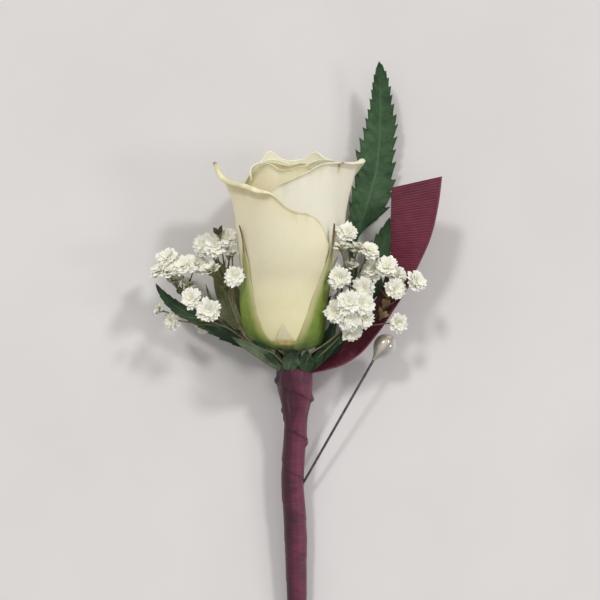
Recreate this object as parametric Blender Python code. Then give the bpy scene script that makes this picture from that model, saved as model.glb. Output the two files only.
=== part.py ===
"""Boutonniere lying on a table: a rose bud, fern, baby's breath, a ribbon tail, wrapped stems
and a pearl-headed pin.

X runs to the right, Y from the cut stems towards the fern's tip, and Z up from the table.
Sizes are in millimetres, and each mesh is scaled to metres as it is made.
"""
import math

import bmesh
import bpy
from mathutils import Matrix, Vector

MM = 0.001

# Room between neighbouring solids.
GAP = 0.3

# Rose bud: a shell profile of (height, radius), in the bud's own frame.
BUD_BASE = (-2.3, -13.2, 9.8)
BUD_TILT = math.radians(9.0)
BUD_PROFILE = [(0.0, 7.0), (1.5, 8.4), (4.5, 10.1), (8.0, 10.8), (14.0, 11.3), (20.0, 12.0),
               (25.0, 13.4), (30.0, 14.4), (40.0, 15.0), (46.0, 15.4), (56.0, 16.0)]
BUD_SWAY = [(0.0, 0.0), (2.0, -1.0), (4.5, -1.7), (8.0, -2.05), (14.0, -2.0), (20.0, -1.3),
            (25.0, -0.7), (30.0, -0.2), (56.0, 0.0)]
PETAL_THICKNESS = 0.45
PETAL_PITCH = 0.92
PETAL_FOOT = 1.2
FLARE_START = 34.0
SEPAL_THICKNESS = 0.55
SEPAL_ROOM = 0.45

# Wrapped stems: the bundle's axis as (y, x, z), and the wrap's outer radius along it.
BUNDLE_AXIS = [(-94.0, -0.8, 2.85), (-83.0, -0.9, 3.2), (-72.0, -1.1, 3.7), (-61.0, -1.4, 4.3),
               (-49.0, -2.1, 5.0), (-41.0, -1.6, 5.6), (-30.0, -1.1, 6.7), (-24.5, -1.4, 7.4),
               (-19.0, -1.3, 8.5), (-14.0, -2.1, 9.5)]
WRAP_RADIUS = [(-94.0, 2.75), (-83.0, 2.8), (-72.0, 3.05), (-61.0, 3.2), (-37.0, 3.2),
               (-32.0, 3.4), (-28.5, 4.1), (-24.5, 4.7), (-18.5, 5.0)]
WRAP_WALL = 0.45
WRAP_FOOT = -91.0
WRAP_MOUTH = -18.5
CUT_END = -94.0

STEM_RADIUS = 2.45

# Thin stems stand in a ring round the rose's stem, one slot each, in the wrap's wide upper end.
THIN_RADIUS = 0.28
THIN_FOOT = -28.8
RING_CLEARANCE = 0.25
SLOT_STEP = 27.0
FIRST_SLOT = 121.5
FAN = [(-16.4, 6.4), (-14.0, 9.7)]
TABLE_ROOM = 1.0

# Corsage pin.
PIN_RADIUS = 0.35
PIN_NECK = Vector((19.8, -16.6, 9.0))
PIN_ENTRY = Vector((1.7, -49.0, 5.0))
PIN_BURIED = 6.5
PIN_POINT = 3.0
PEARL_LENGTH = 7.8
PEARL_RADIUS = 3.05

# Ribbon tail: its two edges, from the cut end down to the wrap.
RIBBON_THICKNESS = 0.45
RIBBON_OUTER = [(37.4, 32.6, 17.5), (36.5, 25.0, 16.8), (34.6, 16.5, 15.6), (31.6, 9.2, 14.2),
                (27.9, 1.9, 13.2), (24.0, -4.2, 12.4), (20.2, -9.6, 11.8), (16.4, -14.2, 11.4),
                (11.4, -17.6, 11.0), (4.6, -20.2, 10.8)]
RIBBON_INNER = [(24.9, 30.5, 9.4), (24.8, 22.0, 8.6), (24.9, 13.6, 7.6), (23.6, 7.0, 6.0),
                (21.8, 0.6, 4.0), (19.2, -4.6, 2.2), (15.8, -9.2, 1.7), (11.6, -13.0, 2.4),
                (8.0, -16.6, 3.8), (4.4, -19.8, 5.6)]
RIBBON_BELLY = 2.2

PEDICEL_RADIUS = 0.25
NODE_RADIUS = 0.55
LEAF_THICKNESS = 0.5

PETAL_COLOUR = (0.78, 0.72, 0.54)
SEPAL_COLOUR = (0.13, 0.20, 0.03)
STEM_COLOUR = (0.07, 0.10, 0.05)
FERN_COLOUR = (0.035, 0.075, 0.03)
OLIVE_COLOUR = (0.08, 0.09, 0.03)
FLORET_COLOUR = (0.75, 0.75, 0.65)
RIBBON_COLOUR = (0.15, 0.03, 0.05)
STEEL_COLOUR = (0.6, 0.6, 0.6)
PEARL_COLOUR = (0.7, 0.67, 0.62)


def clear_scene():
    """Remove every object that the file opened with."""
    for obj in list(bpy.data.objects):
        bpy.data.objects.remove(obj, do_unlink=True)


def make_material(name, colour, roughness, metallic=0.0):
    """A Principled material of one colour."""
    material = bpy.data.materials.new(name)
    material.use_nodes = True
    shader = material.node_tree.nodes["Principled BSDF"]
    shader.inputs["Base Color"].default_value = (*colour, 1.0)
    shader.inputs["Roughness"].default_value = roughness
    shader.inputs["Metallic"].default_value = metallic
    return material


def along(table, key):
    """Read a smooth value from a table of (key, value, ...) rows sorted by key."""
    rows = sorted(table)
    if key <= rows[0][0]:
        return rows[0][1:]
    if key >= rows[-1][0]:
        return rows[-1][1:]
    index = max(i for i, row in enumerate(rows) if row[0] <= key)
    low, high = rows[index], rows[index + 1]
    before, after = rows[max(index - 1, 0)], rows[min(index + 2, len(rows) - 1)]
    width = high[0] - low[0]
    t = (key - low[0]) / width
    values = []
    for column in range(1, len(low)):
        slope_low = (high[column] - before[column]) / (high[0] - before[0]) * width
        slope_high = (after[column] - low[column]) / (after[0] - low[0]) * width
        values.append(hermite(low[column], high[column], slope_low, slope_high, t))
    return tuple(values)


def hermite(start, end, slope_start, slope_end, t):
    """Cubic Hermite value at t, from 0 to 1."""
    rise = end - start
    return start + t * (slope_start + t * (3 * rise - 2 * slope_start - slope_end
                                           + t * (slope_start + slope_end - 2 * rise)))


def smooth_path(points, steps):
    """Points on a smooth curve through the given points, steps to a span."""
    points = [Vector(point) for point in points]
    result = []
    for i in range(len(points) - 1):
        before = points[max(i - 1, 0)]
        after = points[min(i + 2, len(points) - 1)]
        slope_start = (points[i + 1] - before) / 2
        slope_end = (after - points[i]) / 2
        for step in range(steps):
            result.append(hermite(points[i], points[i + 1], slope_start, slope_end, step / steps))
    result.append(points[-1])
    return result


def new_bmesh(points, faces):
    """A bmesh from points in millimetres and faces as index tuples."""
    mesh = bmesh.new()
    corners = [mesh.verts.new(Vector(point) * MM) for point in points]
    for face in faces:
        mesh.faces.new([corners[index] for index in face])
    bmesh.ops.recalc_face_normals(mesh, faces=mesh.faces)
    return mesh


def make_object(name, mesh, material):
    """An object from a bmesh, shaded smooth apart from its sharp edges."""
    data = bpy.data.meshes.new(name)
    mesh.to_mesh(data)
    mesh.free()
    data.materials.append(material)
    data.shade_smooth()
    data.set_sharp_from_angle(angle=math.radians(50))
    obj = bpy.data.objects.new(name, data)
    bpy.context.scene.collection.objects.link(obj)
    return obj


def loft(path, widths, depths, sides=8):
    """Points and faces of a closed loft with an elliptical section along a path.

    The section's width lies level, across the path, and its depth stands up from it.
    """
    points = []
    faces = []
    for i, centre in enumerate(path):
        tangent = (path[min(i + 1, len(path) - 1)] - path[max(i - 1, 0)]).normalized()
        across = tangent.cross(Vector((0, 0, 1))).normalized()
        upward = across.cross(tangent)
        for side in range(sides):
            angle = math.tau * side / sides
            points.append(centre + across * (math.cos(angle) * widths[i] / 2)
                          + upward * (math.sin(angle) * depths[i] / 2))
    for i in range(len(path) - 1):
        for side in range(sides):
            after = (side + 1) % sides
            faces.append((i * sides + side, i * sides + after,
                          (i + 1) * sides + after, (i + 1) * sides + side))
    last = (len(path) - 1) * sides
    faces.append(tuple(range(sides)))
    faces.append(tuple(range(last, last + sides)))
    return points, faces


def tube(path, radius, sides=6):
    """A loft with a round section of one radius."""
    sizes = [2 * radius] * len(path)
    return loft(path, sizes, sizes, sides)


def ball(centre, radius, segments=8, rings=4):
    """Points and faces of a ball, a floret's outer shape."""
    points = [Vector(centre) + Vector((0, 0, radius))]
    faces = []
    for ring in range(1, rings):
        polar = math.pi * ring / rings
        for segment in range(segments):
            angle = math.tau * segment / segments
            points.append(Vector(centre) + radius * Vector((math.sin(polar) * math.cos(angle),
                                                            math.sin(polar) * math.sin(angle),
                                                            math.cos(polar))))
    points.append(Vector(centre) - Vector((0, 0, radius)))
    for segment in range(segments):
        after = (segment + 1) % segments
        faces.append((0, 1 + segment, 1 + after))
        for ring in range(rings - 2):
            row = 1 + ring * segments
            faces.append((row + segment, row + segments + segment,
                          row + segments + after, row + after))
        row = 1 + (rings - 2) * segments
        faces.append((row + segment, len(points) - 1, row + after))
    return points, faces


def joined(shapes):
    """Points and faces of several shapes in one list."""
    points = []
    faces = []
    for shape_points, shape_faces in shapes:
        start = len(points)
        points.extend(shape_points)
        faces.extend(tuple(start + index for index in face) for face in shape_faces)
    return points, faces


def union(name, shapes, material):
    """One object from the Boolean union of several overlapping closed shapes."""
    obj = make_object(name, new_bmesh(*shapes[0]), material)
    branches = make_object(name + "_branches", new_bmesh(*joined(shapes[1:])), material)
    hide_helper(branches)
    join = obj.modifiers.new("join", "BOOLEAN")
    join.operation = "UNION"
    join.use_self = True
    join.object = branches
    return obj


def hide_helper(obj):
    """Mark an object as a cutter or a joined branch, which isn't a part of its own."""
    obj.hide_render = True
    obj.display_type = "WIRE"


def bundle_centre(y):
    """The bundle's axis at one Y."""
    x, z = along(BUNDLE_AXIS, y)
    return Vector((x, y, z))


def wrap_radius(y):
    """The wrap's outer radius at one Y."""
    return along(WRAP_RADIUS, y)[0]


def ring_radius(y):
    """The radius at which the thin stems stand round the rose's stem."""
    return wrap_radius(y) - WRAP_WALL - RING_CLEARANCE - THIN_RADIUS


def bundle_path(slot):
    """A thin stem's points inside the wrap, from its cut end up to the mouth."""
    angle = math.radians(FIRST_SLOT + SLOT_STEP * slot)
    outward = Vector((math.cos(angle), 0, math.sin(angle)))
    return [bundle_centre(y) + outward * ring_radius(y) for y in (THIN_FOOT, -24.5, WRAP_MOUTH + 0.35)]


def fan_path(slot):
    """A thin stem's points from its cut end, out of the mouth and clear of the calyx."""
    path = bundle_path(slot)
    angle = math.radians(FIRST_SLOT + SLOT_STEP * slot)
    for y, radius in FAN:
        point = bundle_centre(y) + Vector((math.cos(angle), 0, math.sin(angle))) * radius
        point.z = max(point.z, TABLE_ROOM)
        path.append(point)
    return path


def bud_radius(height):
    """The bud's outer radius at a height up its axis."""
    return along(BUD_PROFILE, height)[0]


def bud_point(turn, radius, height):
    """A point of the bud; turn is in degrees from the upper side, and grows to the right."""
    angle = math.radians(turn)
    sway = along(BUD_SWAY, height)[0]
    return Vector((sway + radius * math.sin(angle), -radius * math.cos(angle), height))


def shell(inner, outer, columns, rows):
    """Points and faces of a closed thin shell between two (column, row) surfaces."""
    points = [outer(c, r) for r in range(rows + 1) for c in range(columns + 1)]
    points += [inner(c, r) for r in range(rows + 1) for c in range(columns + 1)]
    half = (columns + 1) * (rows + 1)
    faces = []
    for r in range(rows):
        for c in range(columns):
            corner = r * (columns + 1) + c
            quad = (corner, corner + 1, corner + columns + 2, corner + columns + 1)
            faces.append(quad)
            faces.append(tuple(half + index for index in reversed(quad)))
    rim = list(range(columns + 1))
    rim += [r * (columns + 1) + columns for r in range(1, rows + 1)]
    rim += [rows * (columns + 1) + c for c in range(columns - 1, -1, -1)]
    rim += [r * (columns + 1) for r in range(rows - 1, 0, -1)]
    for index, corner in enumerate(rim):
        after = rim[(index + 1) % len(rim)]
        faces.append((corner, after, half + after, half + corner))
    return points, faces


def petal_shell(petal):
    """A petal as a sector of one layer of the bud, with its own rim line and rolled tips."""
    columns, rows = petal["columns"], petal["rows"]
    depth = petal["layer"] * PETAL_PITCH
    rim = [(index / (len(petal["rim"]) - 1), height) for index, height in enumerate(petal["rim"])]
    start, end = petal["turns"]

    def place(column, row, inset):
        across = column / columns
        top = along(rim, across)[0]
        climb = (row / rows) ** 1.25
        height = petal["foot"] + (top - petal["foot"]) * climb
        narrow = 0.72 + 0.28 * min(climb / 0.35, 1.0)
        middle = (start + end) / 2
        turn = middle + (start + (end - start) * across - middle) * narrow
        roll = max(height - FLARE_START, 0.0) / (top - FLARE_START) if top > FLARE_START else 0.0
        flare = roll ** 2 * (petal["left_flare"] * (1 - across) ** 2 + petal["right_flare"] * across ** 2)
        return bud_point(turn, bud_radius(height) - depth - inset + flare, height)

    return shell(lambda c, r: place(c, r, PETAL_THICKNESS), lambda c, r: place(c, r, 0.0), columns, rows)


PETALS = {
    "petal_outer_left": dict(layer=0, turns=(-112, 62), rim=(44, 49.5, 43.5, 39, 35, 18),
                             left_flare=6.5, right_flare=0.0),
    "petal_outer_right": dict(layer=1.1, turns=(-52, 118), rim=(38, 43, 45.5, 48.5, 50, 44),
                              left_flare=0.0, right_flare=5.0),
    "petal_outer_back": dict(layer=2.07, turns=(92, 262), rim=(42, 48, 50, 49, 44),
                             left_flare=0.5, right_flare=0.5),
    "petal_second_left": dict(layer=3, turns=(-128, 30), rim=(40, 47, 51.0, 49, 42)),
    "petal_second_right": dict(layer=4, turns=(8, 166), rim=(42, 49.5, 50.0, 48, 42)),
    "petal_second_back": dict(layer=5, turns=(140, 298), rim=(42, 48, 50, 48, 43)),
    "petal_third_left": dict(layer=6, turns=(-98, 56), rim=(42, 49, 50.5, 49, 43)),
    "petal_third_right": dict(layer=7, turns=(36, 190), rim=(42, 48, 49.5, 48, 43)),
    "petal_third_back": dict(layer=8, turns=(168, 322), rim=(43, 47, 49, 48, 43)),
    "petal_inner_left": dict(layer=9, turns=(-60, 100), rim=(43, 47, 48.5, 47, 43)),
    "petal_inner_right": dict(layer=10, turns=(110, 270), rim=(43, 46, 48, 46, 43)),
}


def make_petals(frame, material):
    """The petals, nested layer in layer, and the tightly rolled innermost ones."""
    for name, shape in PETALS.items():
        petal = {"left_flare": 0.0, "right_flare": 0.0, "columns": 8, "rows": 6, **shape}
        petal["foot"] = PETAL_FOOT if petal["layer"] < 6 else PETAL_FOOT + 2.6 * (petal["layer"] - 5)
        if petal["layer"] < 3:
            petal["columns"], petal["rows"] = 12, 10
        make_object(name, new_bmesh(*petal_shell(petal)), material).parent = frame
    heights = [17.0, 22, 30, 40, 45.5, 47.0]
    shares = [0.55, 0.95, 0.95, 0.9, 0.5, 0.15]
    room = [bud_radius(h) - 10 * PETAL_PITCH - PETAL_THICKNESS - GAP for h in heights]
    path = [bud_point(0, 0, h) for h in heights]
    sizes = [2 * radius * share for radius, share in zip(room, shares)]
    points, faces = spindle(path, sizes, 10)
    make_object("petal_heart", new_bmesh(points, faces), material).parent = frame


def spindle(path, sizes, sides):
    """A closed turned shape along an upright path."""
    points = []
    faces = []
    for centre, size in zip(path, sizes):
        for side in range(sides):
            angle = math.tau * side / sides
            points.append(centre + Vector((math.cos(angle), math.sin(angle), 0)) * size / 2)
    for i in range(len(path) - 1):
        for side in range(sides):
            after = (side + 1) % sides
            faces.append((i * sides + side, i * sides + after,
                          (i + 1) * sides + after, (i + 1) * sides + side))
    last = (len(path) - 1) * sides
    faces.append(tuple(range(sides)))
    faces.append(tuple(range(last, last + sides)))
    return points, faces


# Sepals: the turn and the share of the full width are given by the climb from foot to tip.
SEPAL_SHARES = [(0.0, 0.58), (0.15, 0.78), (0.3, 1.0), (0.54, 0.92), (0.68, 0.7), (0.76, 0.36),
                (0.84, 0.19), (1.0, 0.07)]
SEPALS = {
    "sepal_left": dict(turns=[(0.0, -60), (0.3, -63), (0.6, -67), (0.8, -61), (1.0, -60)],
                       width=11.6, length=33.5, curl=0.8),
    "sepal_right": dict(turns=[(0.0, 56), (0.3, 58), (0.6, 67), (0.75, 62), (1.0, 49)],
                        width=11.6, length=34.5, curl=0.2),
    "sepal_back_left": dict(turns=[(0.0, -127), (1.0, -127)], width=11.0, length=27.0, curl=0.3),
    "sepal_back_right": dict(turns=[(0.0, 126), (1.0, 126)], width=11.0, length=26.0, curl=0.3),
}


def make_sepals(frame, material):
    """The calyx: long pointed sepals that clasp the foot of the bud."""
    columns, rows = 4, 12

    def sepal(shape):
        def place(column, row, inset):
            climb = row / rows
            height = -0.4 + shape["length"] * climb ** 1.4
            width = shape["width"] * along(SEPAL_SHARES, climb)[0]
            lift = SEPAL_ROOM + shape["curl"] * climb ** 4
            radius = bud_radius(height) + lift + SEPAL_THICKNESS - inset
            middle = along(shape["turns"], climb)[0]
            turn = middle + math.degrees(width * (column / columns - 0.5) / radius)
            return bud_point(turn, radius, height)
        return shell(lambda c, r: place(c, r, SEPAL_THICKNESS), lambda c, r: place(c, r, 0.0),
                     columns, rows)

    for name, shape in SEPALS.items():
        make_object(name, new_bmesh(*sepal(shape)), material).parent = frame


def make_rose_stem(frame, material):
    """The rose's stem inside the wrap, its hip under the calyx, and the dome that bears petals."""
    heights = [CUT_END, -83, -72, -61, -54, -49, -45, -41, -33, -28, -24, -20]
    path = [bundle_centre(y) for y in heights]
    sizes = [2 * min(STEM_RADIUS, wrap_radius(y) - WRAP_WALL - GAP) for y in heights]
    tilt = Matrix.Rotation(BUD_TILT - math.pi / 2, 3, "X")
    hip = [(-3.6, 2.9), (-2.2, 3.6), (-1.4, 5.6), (-0.8, 6.9), (0.3, 6.3), (0.9, 3.0), (5.0, 1.2)]
    for height, radius in hip:
        path.append(Vector(BUD_BASE) + tilt @ Vector((0, 0, height)))
        sizes.append(2 * radius)
    return make_object("rose_stem", new_bmesh(*loft(path, sizes, sizes, 10)), material)


# Leaves: a stem that may run down inside the wrap, then a blade as (x, y, z, width) stations.
LEAVES = {
    "fern_main": dict(slot=7, colour=FERN_COLOUR, stations=[
        (7.0, -10.8, 2.4, 0.6), (10.0, -2.0, 2.0, 0.7), (12.6, 6.0, 1.8, 0.9),
        (14.8, 13.0, 1.9, 4.5), (17.6, 22.0, 2.2, 9.5), (20.0, 31.0, 2.7, 11.5),
        (21.6, 40.5, 3.6, 11.0), (22.4, 49.0, 5.0, 7.6), (22.3, 57.0, 6.5, 4.6), (21.6, 65.0, 8.0, 0.7)]),
    "leaf_left": dict(slot=3, colour=FERN_COLOUR, stations=[
        (-14.0, -12.4, 7.6, 3.2), (-18.4, -9.6, 8.8, 4.8),
        (-24.0, -6.0, 9.2, 5.0), (-31.0, -1.2, 9.2, 4.6), (-36.0, 2.2, 8.8, 3.2), (-39.8, 4.6, 8.2, 0.6)]),
    "leaf_back_left": dict(slot=5, colour=OLIVE_COLOUR, stations=[
        (-9.0, -11.2, 1.0, 0.6), (-14.6, -7.0, 2.6, 3.0), (-18.6, -1.0, 4.6, 6.6),
        (-21.0, 5.0, 6.0, 6.0), (-23.0, 11.5, 7.0, 0.7)]),
}

# The second fern leaf: a main blade and two small pinnae that spring from its stalk.
FERN_RIGHT = dict(slot=8, stations=[
    (10.4, -10.8, 4.6, 0.6), (14.2, -5.0, 3.4, 0.7), (17.2, 2.0, 2.9, 2.2),
    (20.2, 8.6, 3.1, 7.0), (23.2, 15.5, 3.4, 7.5), (25.6, 23.0, 4.0, 0.7)])
PINNAE = [
    [(14.0, -5.4, 3.4, 0.7), (16.6, -2.2, 4.0, 2.2), (19.2, 0.8, 4.6, 3.4), (21.6, 3.6, 5.0, 0.6)],
    [(15.4, -2.2, 3.2, 0.7), (15.0, 3.0, 4.4, 2.6), (14.8, 8.0, 5.6, 2.4), (14.6, 11.6, 6.2, 0.6)],
]

# Short collar leaves at the wrap's mouth.
COLLAR = {
    "collar_leaf_left": [(-2.0, -18.0, 12.7, 0.9), (-2.6, -17.2, 13.2, 2.0), (-3.0, -16.5, 13.9, 2.0),
                         (-3.3, -15.9, 14.4, 0.6)],
    "collar_leaf_right": [(-0.7, -18.0, 12.7, 0.9), (-0.3, -17.2, 13.2, 1.9), (0.1, -16.5, 13.7, 1.9),
                          (0.4, -15.9, 14.2, 0.6)],
}


def blade(stations, stem=(), steps=1):
    """A leaf's points and faces: a thin loft whose width follows its stations."""
    path = list(stem) + [Vector(station[:3]) for station in stations]
    widths = [2 * THIN_RADIUS] * len(stem) + [station[3] for station in stations]
    smooth = smooth_path(path, steps)
    wide = [size[0] for size in smooth_path([(width, 0, 0) for width in widths], steps)]
    depths = [max(min(width, LEAF_THICKNESS), 2 * THIN_RADIUS) for width in wide]
    return loft(smooth, wide, depths, 6)


def make_leaves(material_of):
    """The fern and the other green leaves, each with its stalk down inside the wrap."""
    for name, leaf in LEAVES.items():
        points, faces = blade(leaf["stations"], fan_path(leaf["slot"]))
        make_object(name, new_bmesh(points, faces), material_of(name, leaf["colour"]))
    shapes = [blade(FERN_RIGHT["stations"], fan_path(FERN_RIGHT["slot"]))]
    shapes += [blade(pinna) for pinna in PINNAE]
    union("fern_right", shapes, material_of("fern_right", FERN_COLOUR))
    for name, stations in COLLAR.items():
        make_object(name, new_bmesh(*blade(stations, steps=2)), material_of(name, FERN_COLOUR))


# Sprigs of baby's breath: a slot in the wrap, the trunk's points past the calyx, and florets as
# (x, y, z, radius), each on a stalk from the trunk's tip.
SPRIGS = {
    "sprig_left_top": dict(
        slot=0, trunk=[(-11.0, -12.4, 18.0), (-14.4, -9.6, 17.2), (-17.6, -3.0, 16.0), (-19.6, 3.2, 15.6)],
        florets=[(-19.4, 15.9, 11.6, 2.3), (-24.9, 15.4, 14.6, 2.4), (-21.6, 14.2, 17.4, 2.3),
                 (-17.4, 6.2, 21.4, 2.3), (-23.6, 8.9, 18.2, 2.2)]),
    "sprig_left_low": dict(
        slot=1, trunk=[(-14.4, -10.6, 14.2), (-19.4, -7.4, 14.8), (-24.6, -5.4, 16.0)],
        florets=[(-24.1, -2.2, 20.0, 2.6), (-37.8, -2.5, 15.6, 1.5), (-34.8, -6.1, 14.6, 2.1),
                 (-29.2, 0.8, 18.6, 2.5)]),
    "sprig_left_mid": dict(
        slot=2, trunk=[(-15.6, -10.4, 10.8), (-21.0, -6.0, 12.2), (-26.2, -1.6, 12.6),
                       (-31.6, 1.6, 12.8)],
        florets=[(-31.0, 9.0, 15.2, 2.4), (-27.6, 9.8, 14.6, 2.3), (-36.1, 11.3, 12.6, 2.2),
                 (-38.7, 7.9, 16.0, 2.1), (-35.3, 7.0, 18.2, 1.9), (-33.6, 6.2, 13.4, 1.6),
                 (-30.2, 5.0, 11.0, 1.6)]),
    "sprig_left_under": dict(
        slot=4, trunk=[(-13.4, -11.2, 2.0), (-19.6, -6.6, 1.4), (-24.6, -4.0, 1.4)],
        florets=[(-29.0, 0.6, 2.45, 2.35), (-27.2, -8.0, 2.3, 2.2), (-33.4, -3.6, 2.6, 2.0)]),
    "sprig_right_under": dict(
        slot=6, trunk=[(4.4, -10.8, 1.0), (6.8, -5.0, 1.0), (8.0, 0.5, 1.6)],
        florets=[(8.2, 3.4, 2.4, 2.3), (9.4, 9.2, 2.4, 2.2)]),
    "sprig_right_far": dict(
        slot=9, trunk=[(12.4, -10.6, 9.8), (17.2, -7.0, 10.4), (21.4, -3.4, 12.0),
                       (23.4, 0.2, 13.0)],
        florets=[(25.4, 7.0, 15.4, 2.4), (26.0, 2.9, 18.2, 2.5), (31.2, 5.3, 17.4, 2.3),
                 (22.8, 9.4, 17.6, 2.5), (19.6, 8.6, 15.6, 2.4), (18.8, 3.6, 16.6, 2.3)]),
    "sprig_right_top": dict(
        slot=10, trunk=[(10.6, -9.6, 14.0), (13.2, -4.0, 14.0), (14.2, 3.0, 15.6)],
        florets=[(12.35, 17.5, 23.4, 2.1), (10.85, 13.1, 25.2, 2.1), (15.2, 14.1, 19.8, 1.9),
                 (19.0, 13.6, 17.6, 2.3), (10.9, 6.4, 21.6, 2.3), (14.6, 2.2, 18.4, 2.1)]),
    "sprig_right_low": dict(
        slot=11, trunk=[(6.6, -11.6, 17.6), (11.6, -7.6, 17.4)],
        florets=[(9.0, -3.1, 20.6, 2.5), (12.8, -0.8, 21.6, 2.4), (17.0, -1.0, 19.6, 2.3),
                 (13.2, -5.4, 20.4, 2.3), (17.6, -5.2, 18.6, 2.3), (13.6, -9.6, 18.2, 2.2),
                 (26.4, -6.2, 14.8, 2.3)]),
}


def sprig_shapes(sprig):
    """The trunk, the stalks and the florets of one sprig, each overlapping the next."""
    trunk = fan_path(sprig["slot"]) + [Vector(point) for point in sprig["trunk"]]
    tip = trunk[-1]
    shapes = [tube(trunk, THIN_RADIUS, 5), ball(tip, NODE_RADIUS, 6, 4)]
    for x, y, z, radius in sprig["florets"]:
        centre = Vector((x, y, z))
        shapes.append(tube([tip, tip.lerp(centre, 0.4) + Vector((0, 0, -0.4)), centre], PEDICEL_RADIUS, 5))
        shapes.append(ball(centre, radius))
    return shapes


def make_sprigs(material_of):
    """The baby's breath, one object for each branched sprig."""
    for name, sprig in SPRIGS.items():
        union(name, sprig_shapes(sprig), material_of(name, FLORET_COLOUR))


def make_ribbon_tail(material):
    """The ribbon's free end: a band between two edges, bellied across where it is gathered."""
    outer_edge = smooth_path(RIBBON_OUTER, 2)
    inner_edge = smooth_path(RIBBON_INNER, 2)
    rows = len(outer_edge) - 1
    columns = 4

    def place(column, row, side):
        across = column / columns
        point = inner_edge[row].lerp(outer_edge[row], across)
        before, after = max(row - 1, 0), min(row + 1, rows)
        along_band = (inner_edge[after] + outer_edge[after] - inner_edge[before] - outer_edge[before])
        width = outer_edge[row] - inner_edge[row]
        normal = width.cross(along_band).normalized()
        gather = max(row / rows - 0.3, 0.0) * min((1.0 - row / rows) / 0.25, 1.0)
        belly = RIBBON_BELLY * gather * math.sin(math.pi * across)
        return point - normal * (belly + side * RIBBON_THICKNESS / 2)

    shape = shell(lambda c, r: place(c, r, -1), lambda c, r: place(c, r, 1), columns, rows)
    return make_object("ribbon_tail", new_bmesh(*shape), material)


def make_stem_wrap(material):
    """The ribbon wound round the stems: a sleeve open at its foot and mouth."""
    heights = [WRAP_FOOT, -83, -72, -61, -54, -49, -45, -41, -37, -34, -31, -28.5, -24.5, WRAP_MOUTH]
    sides = 14
    points = []
    faces = []
    for inset in (0.0, WRAP_WALL):
        for y in heights:
            centre = bundle_centre(y)
            radius = wrap_radius(y) - inset
            for side in range(sides):
                angle = math.tau * side / sides
                points.append(centre + radius * Vector((math.cos(angle), 0, math.sin(angle))))
    half = len(heights) * sides
    for side in range(sides):
        after = (side + 1) % sides
        for row in range(len(heights) - 1):
            start = row * sides
            quad = (start + side, start + after, start + sides + after, start + sides + side)
            faces.append(quad)
            faces.append(tuple(half + index for index in reversed(quad)))
        top = (len(heights) - 1) * sides
        faces.append((side, half + side, half + after, after))
        faces.append((top + side, top + after, half + top + after, half + top + side))
    return make_object("stem_wrap", new_bmesh(points, faces), material)


def make_pin(steel, pearl):
    """The corsage pin: a steel shaft with a point, and a drop-shaped pearl head."""
    direction = (PIN_NECK - PIN_ENTRY).normalized()
    tip = PIN_ENTRY - direction * PIN_BURIED
    path = [tip, tip + direction * PIN_POINT, PIN_NECK]
    sizes = [0.3, 2 * PIN_RADIUS, 2 * PIN_RADIUS]
    shaft = make_object("pin_shaft", new_bmesh(*loft(path, sizes, sizes, 8)), steel)
    start = PIN_NECK + direction * GAP
    profile = [(0.0, 0.7), (0.8, 1.0), (2.0, 2.0), (3.4, 2.8), (4.8, PEARL_RADIUS), (6.2, 2.6),
               (7.2, 1.6), (PEARL_LENGTH, 0.5)]
    path = [start + direction * height for height, radius in profile]
    sizes = [2 * radius for height, radius in profile]
    head = make_object("pin_pearl", new_bmesh(*loft(path, sizes, sizes, 14)), pearl)
    return shaft, head


def cut_pin_channel(bodies):
    """Cut the pin's way through the wrap and into the rose's stem."""
    direction = (PIN_NECK - PIN_ENTRY).normalized()
    path = [PIN_ENTRY - direction * (PIN_BURIED + GAP), PIN_ENTRY + direction * 6.0]
    cutter = make_object("pin_clearance", new_bmesh(*tube(path, PIN_RADIUS + GAP, 10)),
                         bodies[0].data.materials[0])
    hide_helper(cutter)
    for body in bodies:
        cut = body.modifiers.new("pin_channel", "BOOLEAN")
        cut.operation = "DIFFERENCE"
        cut.object = cutter


def settle(frame):
    """Move the whole so that it is centred over the origin and rests on the table."""
    bpy.context.view_layer.update()
    graph = bpy.context.evaluated_depsgraph_get()
    corners = []
    for obj in bpy.data.objects:
        if obj.type == "MESH" and not obj.hide_render:
            evaluated = obj.evaluated_get(graph)
            corners += [obj.matrix_world @ vertex.co for vertex in evaluated.data.vertices]
    low = [min(corner[axis] for corner in corners) for axis in range(3)]
    high = [max(corner[axis] for corner in corners) for axis in range(3)]
    frame.location = (-(low[0] + high[0]) / 2, -(low[1] + high[1]) / 2, -low[2])


def main():
    """Build the boutonniere."""
    clear_scene()
    frame = bpy.data.objects.new("boutonniere_frame", None)
    bud_frame = bpy.data.objects.new("bud_frame", None)
    for empty in (frame, bud_frame):
        bpy.context.scene.collection.objects.link(empty)
    bud_frame.parent = frame
    bud_frame.location = Vector(BUD_BASE) * MM
    bud_frame.rotation_euler = (BUD_TILT - math.pi / 2, 0, 0)

    def green(name, colour):
        return make_material(name, colour, 0.55)

    ribbon = make_material("ribbon", RIBBON_COLOUR, 0.6)
    make_petals(bud_frame, make_material("petal", PETAL_COLOUR, 0.6))
    make_sepals(bud_frame, green("sepal", SEPAL_COLOUR))
    stem = make_rose_stem(frame, green("rose_stem", STEM_COLOUR))
    make_leaves(green)
    make_sprigs(lambda name, colour: make_material(name, colour, 0.7))
    make_ribbon_tail(ribbon)
    wrap = make_stem_wrap(ribbon)
    make_pin(make_material("steel", STEEL_COLOUR, 0.3, 1.0), make_material("pearl", PEARL_COLOUR, 0.25))
    cut_pin_channel([wrap, stem])
    for obj in bpy.data.objects:
        if obj.type == "MESH" and obj.parent is None:
            obj.parent = frame
    settle(frame)


main()
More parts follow.
